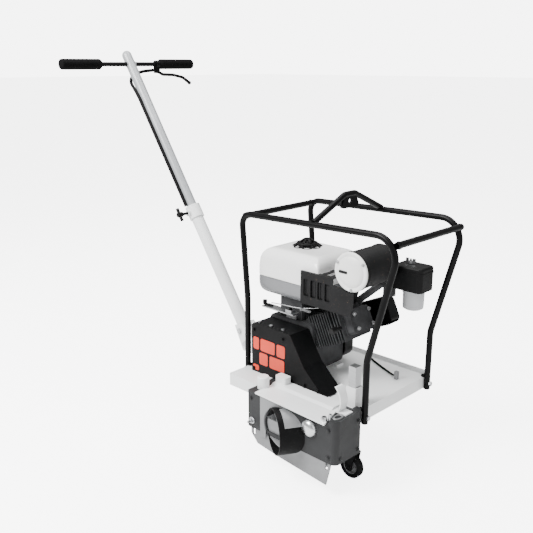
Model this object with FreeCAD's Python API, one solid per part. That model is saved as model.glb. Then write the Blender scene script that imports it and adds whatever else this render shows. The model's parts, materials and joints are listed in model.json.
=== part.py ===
"""Walk-behind concrete saw: an engine in a tube cage on a wheeled deck, a belt-driven blade head
on the operator's right, and a telescoping T-handle. Millimetres, +X is the way it travels, +Y is the
operator's left, +Z is up, and z = 0 is the ground."""

import math
import os

import FreeCAD
import Part

# ---------------------------------------------------------------- driving dimensions
# deck
DECK_LENGTH = 451.0
DECK_HALF_WIDTH = 172.0
DECK_HEIGHT = 39.0
DECK_LIP = 15.0
DECK_WALL = 4.0
RIDE_HEIGHT = 190.0
WING_FRONT_X = -102.0
WING_OUTER_Y = -251.0

# cage
TUBE_OD = 19.0
TUBE_WALL = 2.0
HOOP_Y = 159.0
HOOP_REAR_TOP_X = -259.0
HOOP_FRONT_TOP_X = 330.0
HOOP_REAR_RISE = 493.0
HOOP_FRONT_RISE = 510.0
REAR_BEND_RISE = 227.0
FRONT_BEND_RISE = 150.0
TOP_BEND_RADIUS = 62.0
POST_BEND_RADIUS = 90.0
BAIL_X = 33.0
BAIL_RISE = 68.0
EYE_HOLE_RADIUS = 9.0
EYE_DROP = 21.0
EYE_THICKNESS = 10.0

# wheels
REAR_WHEEL_RADIUS = 65.0
REAR_WHEEL_WIDTH = 38.0
REAR_WHEEL_Y = 140.0
REAR_AXLE_X = -140.0
REAR_AXLE_RADIUS = 8.0
FRONT_WHEEL_RADIUS = 37.5
FRONT_WHEEL_WIDTH = 22.0
FRONT_WHEEL_X = 192.0
FRONT_WHEEL_Y = -154.0
FRONT_AXLE_RADIUS = 5.0
FRONT_POST_SIDE = 25.0
FRONT_LIFT = 95.0
FRONT_POST_LENGTH = 167.0 + FRONT_LIFT

# engine
ENGINE_X = -105.0
CRANK_RISE = 106.0
CYLINDER_LEAN = 25.0
CRANK_RADIUS = 9.5
CASE_LENGTH = 150.0
CASE_WIDTH = 180.0
CASE_HEIGHT = 165.0
CASE_FRONT_Y = -98.0
TANK_X = -95.0
TANK_Y = -27.0
TANK_LENGTH = 246.0
TANK_WIDTH = 206.0
TANK_BASE_RISE = 241.0
TANK_LOWER_HEIGHT = 58.0
TANK_UPPER_HEIGHT = 88.0
TANK_CROWN = 32.0
TANK_BASE_INSET = 30.0
TANK_SIDE_INSET = 14.0
TANK_CORNER = 22.0
TANK_RIM = 6.0
MUFFLER_RADIUS = 55.0
MUFFLER_LENGTH = 146.0
MUFFLER_X = 150.0
MUFFLER_Y = -135.0
MUFFLER_RISE = 381.0
CLEANER_X = 222.0
CLEANER_Y = 66.0
CLEANER_RISE = 306.0
CLEANER_LENGTH = 100.0
CLEANER_WIDTH = 74.0
CLEANER_HEIGHT = 72.0

# drive
PULLEY_Y = -145.0
PULLEY_WIDTH = 20.0
DRIVE_PULLEY_RADIUS = 38.0
DRIVEN_PULLEY_RADIUS = 30.0
BELT_WIDTH = 12.0
BELT_DEPTH = 8.0
GUARD_OUTER_Y = -184.0
GUARD_INNER_Y = -102.0
GUARD_WALL = 2.0

# blade head
ARBOR_X = 121.0
ARBOR_Z = 135.0
ARBOR_RADIUS = 10.0
BLADE_RADIUS = 88.9
BLADE_THICKNESS = 3.0
BLADE_Y = -250.0
HOOD_REAR_X = -98.0
HOOD_FRONT_X = 240.0
HOOD_OUTER_Y = -292.0
HOOD_INNER_Y = -172.0
HOOD_BOTTOM_Z = 110.0
HOOD_WALL = 3.0
PORT_RADIUS = 68.0
PORT_WALL = 3.0
PORT_X = 51.0
PORT_Z = 150.0
PORT_TURN = 30.3
PORT_REACH = 33.0
FOLD_Y = -222.0
CUP_X = -74.0
CUP_Y = -252.0
CUP_RADIUS = 18.0
CUP_HEIGHT = 38.0
SHELF_THICKNESS = 5.0
FOLD_RISE = 6.0
SHELF_BRACKET_HEIGHT = 32.0
KNOB_X = 147.0
KNOB_Z = 194.0
KNOB_RADIUS = 25.0
SKIRT_TRAVEL = 60.0
HOOD_CORNER = 18.0
LIP_HEIGHT = 12.0
BEARING_RADIUS = 21.0
COLLAR_RADIUS = 30.0

# handle
POLE_FOOT_X = -372.0
POLE_FOOT_Z = 201.0
POLE_LEAN = 34.4
LOWER_POLE_RADIUS = 22.0
LOWER_POLE_WALL = 3.0
LOWER_POLE_LENGTH = 559.0
UPPER_POLE_RADIUS = 18.0
UPPER_POLE_WALL = 2.5
UPPER_POLE_START = 380.0
UPPER_POLE_END = 1204.0
HANDLE_AT = 1166.0
HANDLE_HALF_WIDTH = 293.0
BAR_RADIUS = 8.0
GRIP_RADIUS = 19.0
GRIP_LENGTH = 160.0
LEVER_Y = 124.0
LEVER_RADIUS = 6.0
CABLE_RADIUS = 6.0

# clearances
RUNNING = 0.05
SLIDE = 0.4
FREE = 1.0

# ---------------------------------------------------------------- places worked out from the sizes
DECK_TOP = RIDE_HEIGHT + DECK_HEIGHT
DECK_UNDER = DECK_TOP - DECK_WALL
HALF_DECK = DECK_LENGTH / 2
POST_X = HALF_DECK + TUBE_OD / 2
TUBE_R = TUBE_OD / 2
RAIL_HEIGHT = 8.0
ENGINE_BASE = DECK_TOP + RAIL_HEIGHT
CRANK_Z = DECK_TOP + CRANK_RISE
CASE_BACK_Y = CASE_FRONT_Y + CASE_LENGTH
LEAN = math.radians(POLE_LEAN)
V = FreeCAD.Vector
X = V(1, 0, 0)
Y = V(0, 1, 0)
Z = V(0, 0, 1)
POLE_AXIS = V(-math.sin(LEAN), 0, math.cos(LEAN))
POLE_SIDE = V(math.cos(LEAN), 0, math.sin(LEAN))
POLE_FOOT = V(POLE_FOOT_X, 0, POLE_FOOT_Z)

PORT_AT = V(PORT_X, HOOD_OUTER_Y, PORT_Z)
PORT_OUT = V(-math.sin(math.radians(PORT_TURN)), -math.cos(math.radians(PORT_TURN)), 0)
PARTS = {}
BOLTS = []


# ---------------------------------------------------------------- shape helpers
def box(x0, x1, y0, y1, z0, z1):
    """A block between two corners."""
    return Part.makeBox(x1 - x0, y1 - y0, z1 - z0, V(x0, y0, z0))


def rod(start, end, radius):
    """A round bar from start to end."""
    return Part.makeCylinder(radius, (end - start).Length, start, end - start)


def pipe(start, end, radius, bore):
    """A round bar with a bore along it."""
    return rod(start, end, radius).cut(rod(start, end, bore))


def rod_y(x, z, y0, y1, radius):
    """A round bar along Y."""
    return Part.makeCylinder(radius, y1 - y0, V(x, y0, z), Y)


def plate_xz(points, y0, y1):
    """A flat plate whose outline is a list of (x, z) and that lies between two y."""
    corners = [V(x, y0, z) for x, z in points]
    return Part.Face(Part.makePolygon(corners + corners[:1])).extrude(V(0, y1 - y0, 0))


def plate_yz(points, x0, x1):
    """A flat plate whose outline is a list of (y, z) and that lies between two x."""
    corners = [V(x0, y, z) for y, z in points]
    return Part.Face(Part.makePolygon(corners + corners[:1])).extrude(V(x1 - x0, 0, 0))


def plate_xy(points, z0, z1):
    """A flat plate whose outline is a list of (x, y) and that lies between two z."""
    corners = [V(x, y, z0) for x, y in points]
    return Part.Face(Part.makePolygon(corners + corners[:1])).extrude(V(0, 0, z1 - z0))


def joined(shapes):
    """The union of several solids as one clean solid."""
    whole = shapes[0]
    for shape in shapes[1:]:
        whole = whole.fuse(shape)
    whole = whole.removeSplitter()
    return whole.Solids[0] if len(whole.Solids) == 1 else whole


def edges_along(shape, direction, length_over=0.0):
    """The straight edges of a shape that run along a direction."""
    found = []
    for edge in shape.Edges:
        if not isinstance(edge.Curve, Part.Line):
            continue
        run = edge.Vertexes[-1].Point - edge.Vertexes[0].Point
        if run.Length > length_over and run.cross(direction).Length < 1e-6 * max(run.Length, 1.0):
            found.append(edge)
    return found


def soft_edges(shape, direction, radius):
    """A shape with its edges along one direction rounded."""
    return shape.makeFillet(radius, edges_along(shape, direction))


def path_with_bends(points, radii):
    """A wire of straight runs joined by tangent arcs at the inner points."""
    edges = []
    start = points[0]
    for i in range(1, len(points) - 1):
        corner = points[i]
        back = (points[i - 1] - corner).normalize()
        ahead = (points[i + 1] - corner).normalize()
        half = back.getAngle(ahead) / 2
        reach = radii[i - 1] / math.tan(half)
        first = corner + back * reach
        last = corner + ahead * reach
        middle_line = (back + ahead).normalize()
        middle = corner + middle_line * (radii[i - 1] / math.sin(half) - radii[i - 1])
        edges.append(Part.LineSegment(start, first).toShape())
        edges.append(Part.Arc(first, middle, last).toShape())
        start = last
    edges.append(Part.LineSegment(start, points[-1]).toShape())
    return Part.Wire(edges)


def bent_tube(points, radii, outer, inner=0.0):
    """A round tube that follows straight runs and bends."""
    path = path_with_bends(points, radii)
    run = points[1] - points[0]
    solid = path.makePipeShell([Part.Wire(Part.makeCircle(outer, points[0], run))], True, False)
    if inner > 0:
        hollow = path.makePipeShell([Part.Wire(Part.makeCircle(inner, points[0], run))], True, False)
        solid = solid.cut(hollow)
    return solid


def hex_bolt(head_at, axis, across, head_height, shank_radius, shank_length):
    """A hexagon bolt: the head stands out along axis, and the shank goes the other way."""
    side = axis.cross(Z if abs(axis.z) < 0.9 else X).normalize()
    other = axis.cross(side)
    circle = across / math.sqrt(3)
    corners = []
    for i in range(6):
        turn = math.radians(60 * i)
        corners.append(head_at + side * (circle * math.cos(turn)) + other * (circle * math.sin(turn)))
    head = Part.Face(Part.makePolygon(corners + corners[:1])).extrude(axis * head_height)
    shank = Part.makeCylinder(shank_radius, shank_length + 0.01, head_at + axis * 0.01, axis * -1)
    return joined([head, shank])


def largest(shape):
    """The biggest solid of a shape that a cut left in pieces."""
    return max(shape.Solids, key=lambda solid: solid.Volume)


def keep(name, shapes):
    """Keeps one node: a solid, or a group of separate solids."""
    solids = []
    for shape in shapes if isinstance(shapes, list) else [shapes]:
        solids += shape.Solids
    PARTS[name] = Part.makeCompound(solids) if len(solids) > 1 else solids[0]
    return PARTS[name]


def along_pole(distance, side=0.0, left=0.0):
    """A point at a distance up the handle pole's axis, off to its front and to its left."""
    return POLE_FOOT + POLE_AXIS * distance + POLE_SIDE * side + Y * left


# ---------------------------------------------------------------- deck and wheels
def make_deck():
    outer = box(-HALF_DECK, HALF_DECK, -DECK_HALF_WIDTH, DECK_HALF_WIDTH, RIDE_HEIGHT, DECK_TOP)
    wing = box(-HALF_DECK, WING_FRONT_X, WING_OUTER_Y, -DECK_HALF_WIDTH, RIDE_HEIGHT, DECK_TOP)
    pan = soft_edges(outer.fuse(wing).removeSplitter(), Z, 3.0)
    t = DECK_WALL
    hollow = box(-HALF_DECK + t, HALF_DECK - t, -DECK_HALF_WIDTH + t, DECK_HALF_WIDTH - t,
                 RIDE_HEIGHT, DECK_UNDER)
    wing_hollow = box(-HALF_DECK + t, WING_FRONT_X - t, WING_OUTER_Y + t, -DECK_HALF_WIDTH + 2 * t,
                      RIDE_HEIGHT, DECK_UNDER)
    pan = pan.cut(hollow).cut(wing_hollow)
    ears = []
    for side in (-1, 1):
        ear_y = side * (REAR_WHEEL_Y - REAR_WHEEL_WIDTH / 2 - 8.0)
        outline = [(REAR_AXLE_X - 45, DECK_UNDER + 1), (REAR_AXLE_X + 45, DECK_UNDER + 1),
                   (REAR_AXLE_X + 18, REAR_WHEEL_RADIUS - 16), (REAR_AXLE_X - 18, REAR_WHEEL_RADIUS - 16)]
        ears.append(plate_xz(outline, ear_y - 3, ear_y + 3))
    guide_half = FRONT_POST_SIDE / 2 + SLIDE + 4.0
    guide_bottom = DECK_UNDER - 8
    guide = box(FRONT_WHEEL_X - guide_half, FRONT_WHEEL_X + guide_half, FRONT_WHEEL_Y - guide_half,
                FRONT_WHEEL_Y + guide_half, guide_bottom, DECK_TOP + 60)
    rails = []
    for y in (CASE_FRONT_Y + 18, CASE_BACK_Y - 18):
        rails.append(box(ENGINE_X - 95, ENGINE_X + 95, y - 16, y + 16, DECK_TOP, ENGINE_BASE))
    lip = box(-HALF_DECK + 30, HALF_DECK - 4, DECK_HALF_WIDTH - DECK_WALL, DECK_HALF_WIDTH,
              DECK_TOP - 1, DECK_TOP + DECK_LIP)
    deck = joined([pan] + ears + [guide] + rails + [lip])
    bore_half = FRONT_POST_SIDE / 2 + SLIDE
    deck = deck.cut(box(FRONT_WHEEL_X - bore_half, FRONT_WHEEL_X + bore_half,
                        FRONT_WHEEL_Y - bore_half, FRONT_WHEEL_Y + bore_half, 0, 900))
    slot_x0 = ENGINE_X + 60
    slot_x1 = ARBOR_X + DRIVEN_PULLEY_RADIUS - 40
    deck = deck.cut(box(slot_x0, slot_x1, PULLEY_Y - 17, PULLEY_Y + 17, DECK_UNDER - 1, DECK_TOP + 1))
    deck = deck.cut(rod_y(REAR_AXLE_X, REAR_WHEEL_RADIUS, -300, 300, REAR_AXLE_RADIUS))
    keep("deck_pan", deck)


def make_rear_wheels():
    reach = REAR_WHEEL_Y + REAR_WHEEL_WIDTH / 2 + 3
    axle = rod_y(REAR_AXLE_X, REAR_WHEEL_RADIUS, -reach, reach, REAR_AXLE_RADIUS)
    keep("rear_axle", axle)
    for side in (-1, 1):
        y0 = side * reach
        y1 = side * (reach + 7)
        BOLTS.append(rod_y(REAR_AXLE_X, REAR_WHEEL_RADIUS, min(y0, y1), max(y0, y1), 13.0))
    for name, side in (("rear_wheel_right", -1), ("rear_wheel_left", 1)):
        y0 = side * REAR_WHEEL_Y - REAR_WHEEL_WIDTH / 2
        y1 = y0 + REAR_WHEEL_WIDTH
        wheel = rod_y(REAR_AXLE_X, REAR_WHEEL_RADIUS, y0, y1, REAR_WHEEL_RADIUS)
        wheel = wheel.makeFillet(6.0, wheel.Edges[:1] + wheel.Edges[2:])
        for face_y in (y0, y1 - 6):
            recess = rod_y(REAR_AXLE_X, REAR_WHEEL_RADIUS, face_y, face_y + 6, REAR_WHEEL_RADIUS - 18)
            hub = rod_y(REAR_AXLE_X, REAR_WHEEL_RADIUS, face_y, face_y + 6, 17.0)
            wheel = wheel.cut(recess.cut(hub))
        bore = rod_y(REAR_AXLE_X, REAR_WHEEL_RADIUS, y0 - 1, y1 + 1, REAR_AXLE_RADIUS + RUNNING)
        keep(name, wheel.cut(bore))


def make_front_wheel():
    half = FRONT_POST_SIDE / 2
    plate_z = 2 * FRONT_WHEEL_RADIUS + 6
    post = box(FRONT_WHEEL_X - half, FRONT_WHEEL_X + half, FRONT_WHEEL_Y - half, FRONT_WHEEL_Y + half,
               plate_z + 5, plate_z + 5 + FRONT_POST_LENGTH)
    wall = 2.5
    post = post.cut(box(FRONT_WHEEL_X - half + wall, FRONT_WHEEL_X + half - wall,
                        FRONT_WHEEL_Y - half + wall, FRONT_WHEEL_Y + half - wall, plate_z, 900))
    top = plate_z + 5 + FRONT_POST_LENGTH
    cap = box(FRONT_WHEEL_X - half, FRONT_WHEEL_X + half, FRONT_WHEEL_Y - half, FRONT_WHEEL_Y + half,
              top, top + 3)
    keep("front_post", joined([post, cap]))
    fork_half = FRONT_WHEEL_WIDTH / 2 + 2
    leg = 3.0
    crown = box(FRONT_WHEEL_X - 20, FRONT_WHEEL_X + 20, FRONT_WHEEL_Y - fork_half - leg,
                FRONT_WHEEL_Y + fork_half + leg, plate_z, plate_z + 5)
    pieces = [crown]
    for side in (-1, 1):
        y0 = FRONT_WHEEL_Y + side * fork_half
        outline = [(FRONT_WHEEL_X - 20, plate_z + 5), (FRONT_WHEEL_X + 20, plate_z + 5),
                   (FRONT_WHEEL_X + 10, FRONT_WHEEL_RADIUS - 10),
                   (FRONT_WHEEL_X - 10, FRONT_WHEEL_RADIUS - 10)]
        pieces.append(plate_xz(outline, min(y0, y0 + side * leg), max(y0, y0 + side * leg)))
    reach = fork_half + leg + 1
    pieces.append(rod_y(FRONT_WHEEL_X, FRONT_WHEEL_RADIUS, FRONT_WHEEL_Y - reach, FRONT_WHEEL_Y + reach,
                        FRONT_AXLE_RADIUS))
    keep("front_fork", joined(pieces))
    y0 = FRONT_WHEEL_Y - FRONT_WHEEL_WIDTH / 2
    y1 = y0 + FRONT_WHEEL_WIDTH
    wheel = rod_y(FRONT_WHEEL_X, FRONT_WHEEL_RADIUS, y0, y1, FRONT_WHEEL_RADIUS)
    wheel = wheel.makeFillet(4.0, wheel.Edges[:1] + wheel.Edges[2:])
    bore = rod_y(FRONT_WHEEL_X, FRONT_WHEEL_RADIUS, y0 - 1, y1 + 1, FRONT_AXLE_RADIUS + RUNNING)
    keep("front_wheel", wheel.cut(bore))


# ---------------------------------------------------------------- cage
def hoop_points(y):
    """The corners of one side hoop, from its rear foot to its front foot."""
    return [V(-POST_X, y, RIDE_HEIGHT), V(-POST_X, y, DECK_TOP + REAR_BEND_RISE),
            V(HOOP_REAR_TOP_X, y, DECK_TOP + HOOP_REAR_RISE),
            V(HOOP_FRONT_TOP_X, y, DECK_TOP + HOOP_FRONT_RISE),
            V(POST_X, y, DECK_TOP + FRONT_BEND_RISE), V(POST_X, y, RIDE_HEIGHT)]


def make_cage():
    radii = [POST_BEND_RADIUS * 3, TOP_BEND_RADIUS * 0.6, TOP_BEND_RADIUS, POST_BEND_RADIUS]
    for name, y in (("right_hoop", -HOOP_Y), ("left_hoop", HOOP_Y)):
        keep(name, bent_tube(hoop_points(y), radii, TUBE_R, TUBE_R - TUBE_WALL))
    corners = hoop_points(0)
    front = corners[3] + V(-17, 0, -21)
    rear = corners[2] + V(12, 0, -7)
    tubes = []
    for at in (front, rear):
        tube = pipe(V(at.x, -HOOP_Y, at.z), V(at.x, HOOP_Y, at.z), TUBE_R, TUBE_R - TUBE_WALL)
        for y in (-HOOP_Y, HOOP_Y):
            tube = tube.cut(bent_tube(hoop_points(y), radii, TUBE_R))
        tubes.append(largest(tube))
    keep("cross_tubes", tubes)
    slope = (corners[3].z - corners[2].z) / (corners[3].x - corners[2].x)
    top_z = corners[2].z + slope * (BAIL_X - corners[2].x)
    peak = top_z + BAIL_RISE
    foot = V(BAIL_X, HOOP_Y, top_z + TUBE_R * 0.6)
    shoulder = V(BAIL_X, 24, peak)
    legs = [foot, shoulder, V(BAIL_X, -24, peak), V(BAIL_X, -HOOP_Y, foot.z)]
    bail = bent_tube(legs, [26.0, 26.0], TUBE_R - 0.5, TUBE_R - 2.5)
    for y in (-HOOP_Y, HOOP_Y):
        bail = bail.cut(bent_tube(hoop_points(y), radii, TUBE_R))
    bail = largest(bail)
    half = EYE_THICKNESS / 2
    eye = plate_yz([(-44, peak - 40), (44, peak - 40), (18, peak + 13), (-18, peak + 13)],
                   BAIL_X - half, BAIL_X + half)
    eye = soft_edges(eye, X, 9.0)
    hole_at = V(BAIL_X - 20, 0, peak - EYE_DROP)
    eye = eye.cut(Part.makeCylinder(EYE_HOLE_RADIUS, 40, hole_at, X))
    eye = eye.cut(box(BAIL_X - 20, BAIL_X + 20, -3, 3, peak + TUBE_R, peak + 40))
    inside = bent_tube(legs, [26.0, 26.0], TUBE_R - 2.5)
    keep("lifting_bail", joined([bail, largest(eye.cut(inside))]))

    bolts = []
    for side in (-1, 1):
        for y in (-HOOP_Y, HOOP_Y):
            at = V(side * (POST_X + TUBE_R), y, RIDE_HEIGHT + DECK_HEIGHT / 2)
            bolts.append(hex_bolt(at, X * side, 13.0, 5.5, 4.0, 27.0))
    BOLTS.extend(bolts)
    for name in ("right_hoop", "left_hoop", "deck_pan"):
        shape = PARTS[name]
        for bolt in bolts:
            shape = shape.cut(bolt)
        keep(name, shape)


# ---------------------------------------------------------------- engine
def lean_frame(shape):
    """Turns a shape built along +X from the crank centre to the cylinder's lean."""
    turned = shape.copy()
    turned.rotate(V(0, 0, 0), Y, -CYLINDER_LEAN)
    turned.translate(V(ENGINE_X, 0, CRANK_Z))
    return turned


def make_engine():
    mid_y = (CASE_FRONT_Y + CASE_BACK_Y) / 2
    half = CASE_WIDTH / 2
    case = box(ENGINE_X - half, ENGINE_X + half, CASE_FRONT_Y, CASE_BACK_Y, ENGINE_BASE,
               ENGINE_BASE + CASE_HEIGHT)
    case = soft_edges(case, Y, 22.0)
    cover = rod_y(ENGINE_X, CRANK_Z, CASE_FRONT_Y - 5, CASE_FRONT_Y, 50.0)
    nose = rod_y(ENGINE_X, CRANK_Z, CASE_FRONT_Y - 12, CASE_FRONT_Y - 5, 30.0)
    neck = lean_frame(box(40, 84, CASE_FRONT_Y + 20, CASE_BACK_Y - 20, -44, 44))
    case = joined([case, cover, nose, neck])
    case = case.cut(rod_y(ENGINE_X, CRANK_Z, CASE_FRONT_Y + 8, CASE_BACK_Y - 8, 58.0))
    case = case.cut(rod_y(ENGINE_X, CRANK_Z, CASE_FRONT_Y - 20, CASE_BACK_Y + 20, CRANK_RADIUS + RUNNING))
    keep("crankcase", case)

    shaft = rod_y(ENGINE_X, CRANK_Z, PULLEY_Y - PULLEY_WIDTH / 2 - 4, CASE_BACK_Y + 34, CRANK_RADIUS)
    webs = []
    for y0 in (mid_y - 22, mid_y + 10):
        webs.append(rod_y(ENGINE_X, CRANK_Z, y0, y0 + 12, 38.0))
    pin = rod_y(ENGINE_X, CRANK_Z + 24, mid_y - 12, mid_y + 12, 12.0)
    keep("crankshaft", joined([shaft, pin] + webs))

    fins = [box(84, 176, CASE_FRONT_Y + 30, CASE_BACK_Y - 30, -36, 36)]
    for i in range(9):
        x = 88 + 10 * i
        fins.append(box(x, x + 4, CASE_FRONT_Y + 12, CASE_BACK_Y - 12, -50, 50))
    head = [box(176, 212, CASE_FRONT_Y + 26, CASE_BACK_Y - 26, -38, 38)]
    for i in range(3):
        x = 180 + 11 * i
        head.append(box(x, x + 4, CASE_FRONT_Y + 14, CASE_BACK_Y - 14, -50, 50))
    keep("cylinder_block", largest(lean_frame(joined(fins + head)).cut(case)))
    rocker = box(212, 238, CASE_FRONT_Y + 28, CASE_BACK_Y - 28, -36, 36)
    rocker = soft_edges(rocker, X, 12.0)
    keep("rocker_cover", lean_frame(rocker))
    plug = [rod(V(202, CASE_FRONT_Y + 14, -6), V(202, CASE_FRONT_Y - 8, -6), 6.0),
            rod(V(202, CASE_FRONT_Y - 8, -6), V(202, CASE_FRONT_Y - 30, -6), 9.0)]
    keep("spark_plug", lean_frame(joined(plug)))

    shroud = box(ENGINE_X - 92, ENGINE_X + 98, CASE_BACK_Y, CASE_BACK_Y + 42, ENGINE_BASE + 8,
                 ENGINE_BASE + CASE_HEIGHT + 22)
    shroud = soft_edges(shroud, Y, 40.0)
    hollow = box(ENGINE_X - 89, ENGINE_X + 95, CASE_BACK_Y - 1, CASE_BACK_Y + 39, ENGINE_BASE + 11,
                 ENGINE_BASE + CASE_HEIGHT + 19)
    shroud = shroud.cut(soft_edges(hollow, Y, 37.0))
    shroud = shroud.cut(rod_y(ENGINE_X, CRANK_Z, CASE_BACK_Y, CASE_BACK_Y + 60, 52.0))
    lobe = lean_frame(box(60, 285, CASE_BACK_Y, CASE_BACK_Y + 42, -44, 42))
    lobe = soft_edges(lobe, Y, 20.0)
    lobe = lobe.cut(lean_frame(box(50, 282, CASE_BACK_Y - 1, CASE_BACK_Y + 39, -41, 39)))
    lobe = lobe.cut(rod_y(ENGINE_X, CRANK_Z, CASE_BACK_Y - 1, CASE_BACK_Y + 60, 85.0))
    shroud = joined([shroud, lobe])
    inside = box(ENGINE_X - 86, ENGINE_X + 92, CASE_BACK_Y - 1, CASE_BACK_Y + 39, ENGINE_BASE + 14,
                 ENGINE_BASE + CASE_HEIGHT + 16)
    shroud = shroud.cut(soft_edges(inside, Y, 34.0))
    keep("fan_shroud", largest(shroud))
    fan = rod_y(ENGINE_X, CRANK_Z, CASE_BACK_Y + 6, CASE_BACK_Y + 34, 70.0)
    fan = fan.cut(rod_y(ENGINE_X, CRANK_Z, CASE_BACK_Y + 14, CASE_BACK_Y + 35, 60.0))
    hub = rod_y(ENGINE_X, CRANK_Z, CASE_BACK_Y + 6, CASE_BACK_Y + 34, 22.0)
    fan = joined([fan, hub]).cut(rod_y(ENGINE_X, CRANK_Z, CASE_BACK_Y, CASE_BACK_Y + 50, CRANK_RADIUS))
    keep("flywheel", fan)
    recoil_y = CASE_BACK_Y + 42
    recoil = rod_y(ENGINE_X, CRANK_Z, recoil_y, recoil_y + 26, 74.0)
    recoil = recoil.makeFillet(9.0, [e for e in recoil.Edges if e.CenterOfMass.y > recoil_y + 25])
    recoil = recoil.cut(rod_y(ENGINE_X, CRANK_Z, recoil_y - 1, recoil_y + 22, 66.0))
    for i in range(8):
        turn = math.radians(45 * i)
        slot = box(-4, 4, recoil_y + 10, recoil_y + 40, 30, 54)
        slot.rotate(V(0, 0, 0), Y, math.degrees(turn))
        slot.translate(V(ENGINE_X, 0, CRANK_Z))
        recoil = recoil.cut(slot)
    keep("recoil_cover", recoil)
    grip_x = ENGINE_X + 74 + 8
    grip = box(grip_x, grip_x + 16, recoil_y + 2, recoil_y + 18, CRANK_Z - 24, CRANK_Z + 24)
    keep("recoil_grip", grip.makeFillet(5.0, grip.Edges))

    make_tank()
    make_exhaust()
    make_intake()
    make_controls()


def make_tank():
    x0 = TANK_X - TANK_LENGTH / 2
    x1 = TANK_X + TANK_LENGTH / 2
    y0 = TANK_Y - TANK_WIDTH / 2
    y1 = TANK_Y + TANK_WIDTH / 2
    seam = DECK_TOP + TANK_BASE_RISE + TANK_LOWER_HEIGHT
    base = DECK_TOP + TANK_BASE_RISE
    top = seam + TANK_UPPER_HEIGHT

    def ring(grow, z, corner):
        face = Part.makePlane(x1 - x0 + 2 * grow, y1 - y0 + 2 * grow, V(x0 - grow, y0 - grow, z))
        solid = face.extrude(V(0, 0, 1))
        solid = soft_edges(solid, Z, corner)
        bottoms = [f for f in solid.Faces if abs(f.CenterOfMass.z - z) < 1e-6]
        return bottoms[0].OuterWire

    corner = TANK_CORNER
    foot = ring(-TANK_SIDE_INSET, base + 12, corner)
    belly = Part.makeLoft([ring(-TANK_BASE_INSET, base, corner - 2), foot], True)
    lower = Part.makeLoft([foot, ring(0, seam - TANK_RIM, corner)], True)
    rim = Part.Face(ring(0, seam - TANK_RIM, corner)).extrude(V(0, 0, TANK_RIM))
    keep("tank_lower", joined([belly, lower, rim]))
    shell = Part.Face(ring(0, seam, corner)).extrude(V(0, 0, TANK_UPPER_HEIGHT - TANK_CROWN))
    crown = Part.makeLoft([ring(0, top - TANK_CROWN, corner), ring(-40, top, corner - 2)], True)
    upper = joined([shell, crown])
    cap_at = V(TANK_X - 20, TANK_Y + 12, top)
    neck = Part.makeCylinder(24.0, 12, cap_at - Z * 6, Z)
    upper = joined([upper, neck])
    keep("tank_upper", upper.cut(Part.makeCylinder(20.0, 30, cap_at - Z * 20, Z)))
    cap = Part.makeCylinder(46.0, 12, cap_at + Z * 7, Z)
    for i in range(8):
        turn = math.radians(45 * i)
        at = cap_at + V(48 * math.cos(turn), 48 * math.sin(turn), 6)
        cap = cap.cut(Part.makeCylinder(10.0, 20, at, Z))
    boss = Part.makeCylinder(28.0, 7, cap_at + Z * 19, Z)
    plug = Part.makeCylinder(20.0 - SLIDE, 18, cap_at - Z * 10, Z)
    keep("fuel_cap", joined([cap, boss, plug]))
    posts = []
    for side in (-1, 1):
        foot_y = TANK_Y + side * 56
        posts.append(box(TANK_X - 60, TANK_X + 30, foot_y - 9, foot_y + 9,
                         ENGINE_BASE + CASE_HEIGHT - 12, base))
    keep("crankcase", joined([PARTS["crankcase"]] + posts))


def make_exhaust():
    z = DECK_TOP + MUFFLER_RISE
    y0 = MUFFLER_Y
    y1 = MUFFLER_Y + MUFFLER_LENGTH
    body = rod_y(MUFFLER_X, z, y0 + 4, y1, MUFFLER_RADIUS)
    body = body.makeFillet(8.0, [e for e in body.Edges if e.CenterOfMass.y > y1 - 1])
    pipe_foot = V(MUFFLER_X - 50, y1 - 40, z - 25)
    port = lean_frame(box(180, 200, -10, 20, 50, 52)).CenterOfMass
    stub = rod(port, pipe_foot + V(6, 0, 4), 14.0)
    keep("muffler_body", joined([body, stub]).cut(PARTS["cylinder_block"]))
    disc = rod_y(MUFFLER_X, z, y0, y0 + 4, MUFFLER_RADIUS + 2)
    disc = disc.makeFillet(1.8, [e for e in disc.Edges if e.CenterOfMass.y < y0 + 0.1])
    slot = box(MUFFLER_X - 38, MUFFLER_X - 8, y0 - 1, y0 + 5, z - 6, z + 2)
    keep("muffler_end", disc.cut(soft_edges(slot, Y, 3.0)))

    x0 = -32.0
    x1 = MUFFLER_X - MUFFLER_RADIUS - 4
    top = DECK_TOP + TANK_BASE_RISE + TANK_LOWER_HEIGHT + 52
    bottom = top - 100
    y0 = -138.0
    y1 = -132.0 + 4
    guard = box(x0, x1, y0, y0 + 74, bottom, top)
    inner = box(x0 + 2, x1 + 1, y0 + 2, y0 + 75, bottom + 2, top - 2)
    guard = guard.cut(inner)
    for i in range(4):
        wx = x0 + 12 + 27 * i
        guard = guard.cut(soft_edges(box(wx, wx + 20, y0 - 1, y0 + 3, bottom + 26, top - 22), Y, 4.0))
    for i in range(3):
        wx = x0 + 14 + 34 * i
        guard = guard.cut(box(wx, wx + 20, y0 + 16, y0 + 60, top - 3, top + 1))
    apron = plate_xz([(x1 - 2, bottom), (x1 + 62, bottom), (x1 + 74, bottom + 40), (x1 + 74, top - 20),
                      (x1 - 2, top - 20)], y0, y0 + 2)
    apron = apron.cut(rod_y(MUFFLER_X, z, y0 - 5, y0 + 10, MUFFLER_RADIUS + 4))
    guard = joined([guard, largest(apron)])
    tank_side = box(TANK_X, TANK_X + TANK_LENGTH / 2 + 3, TANK_Y - TANK_WIDTH / 2 - 1, y1 + 200,
                    0, 900)
    keep("muffler_guard", max(guard.cut(tank_side).Solids, key=lambda s: s.Volume))


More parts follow.
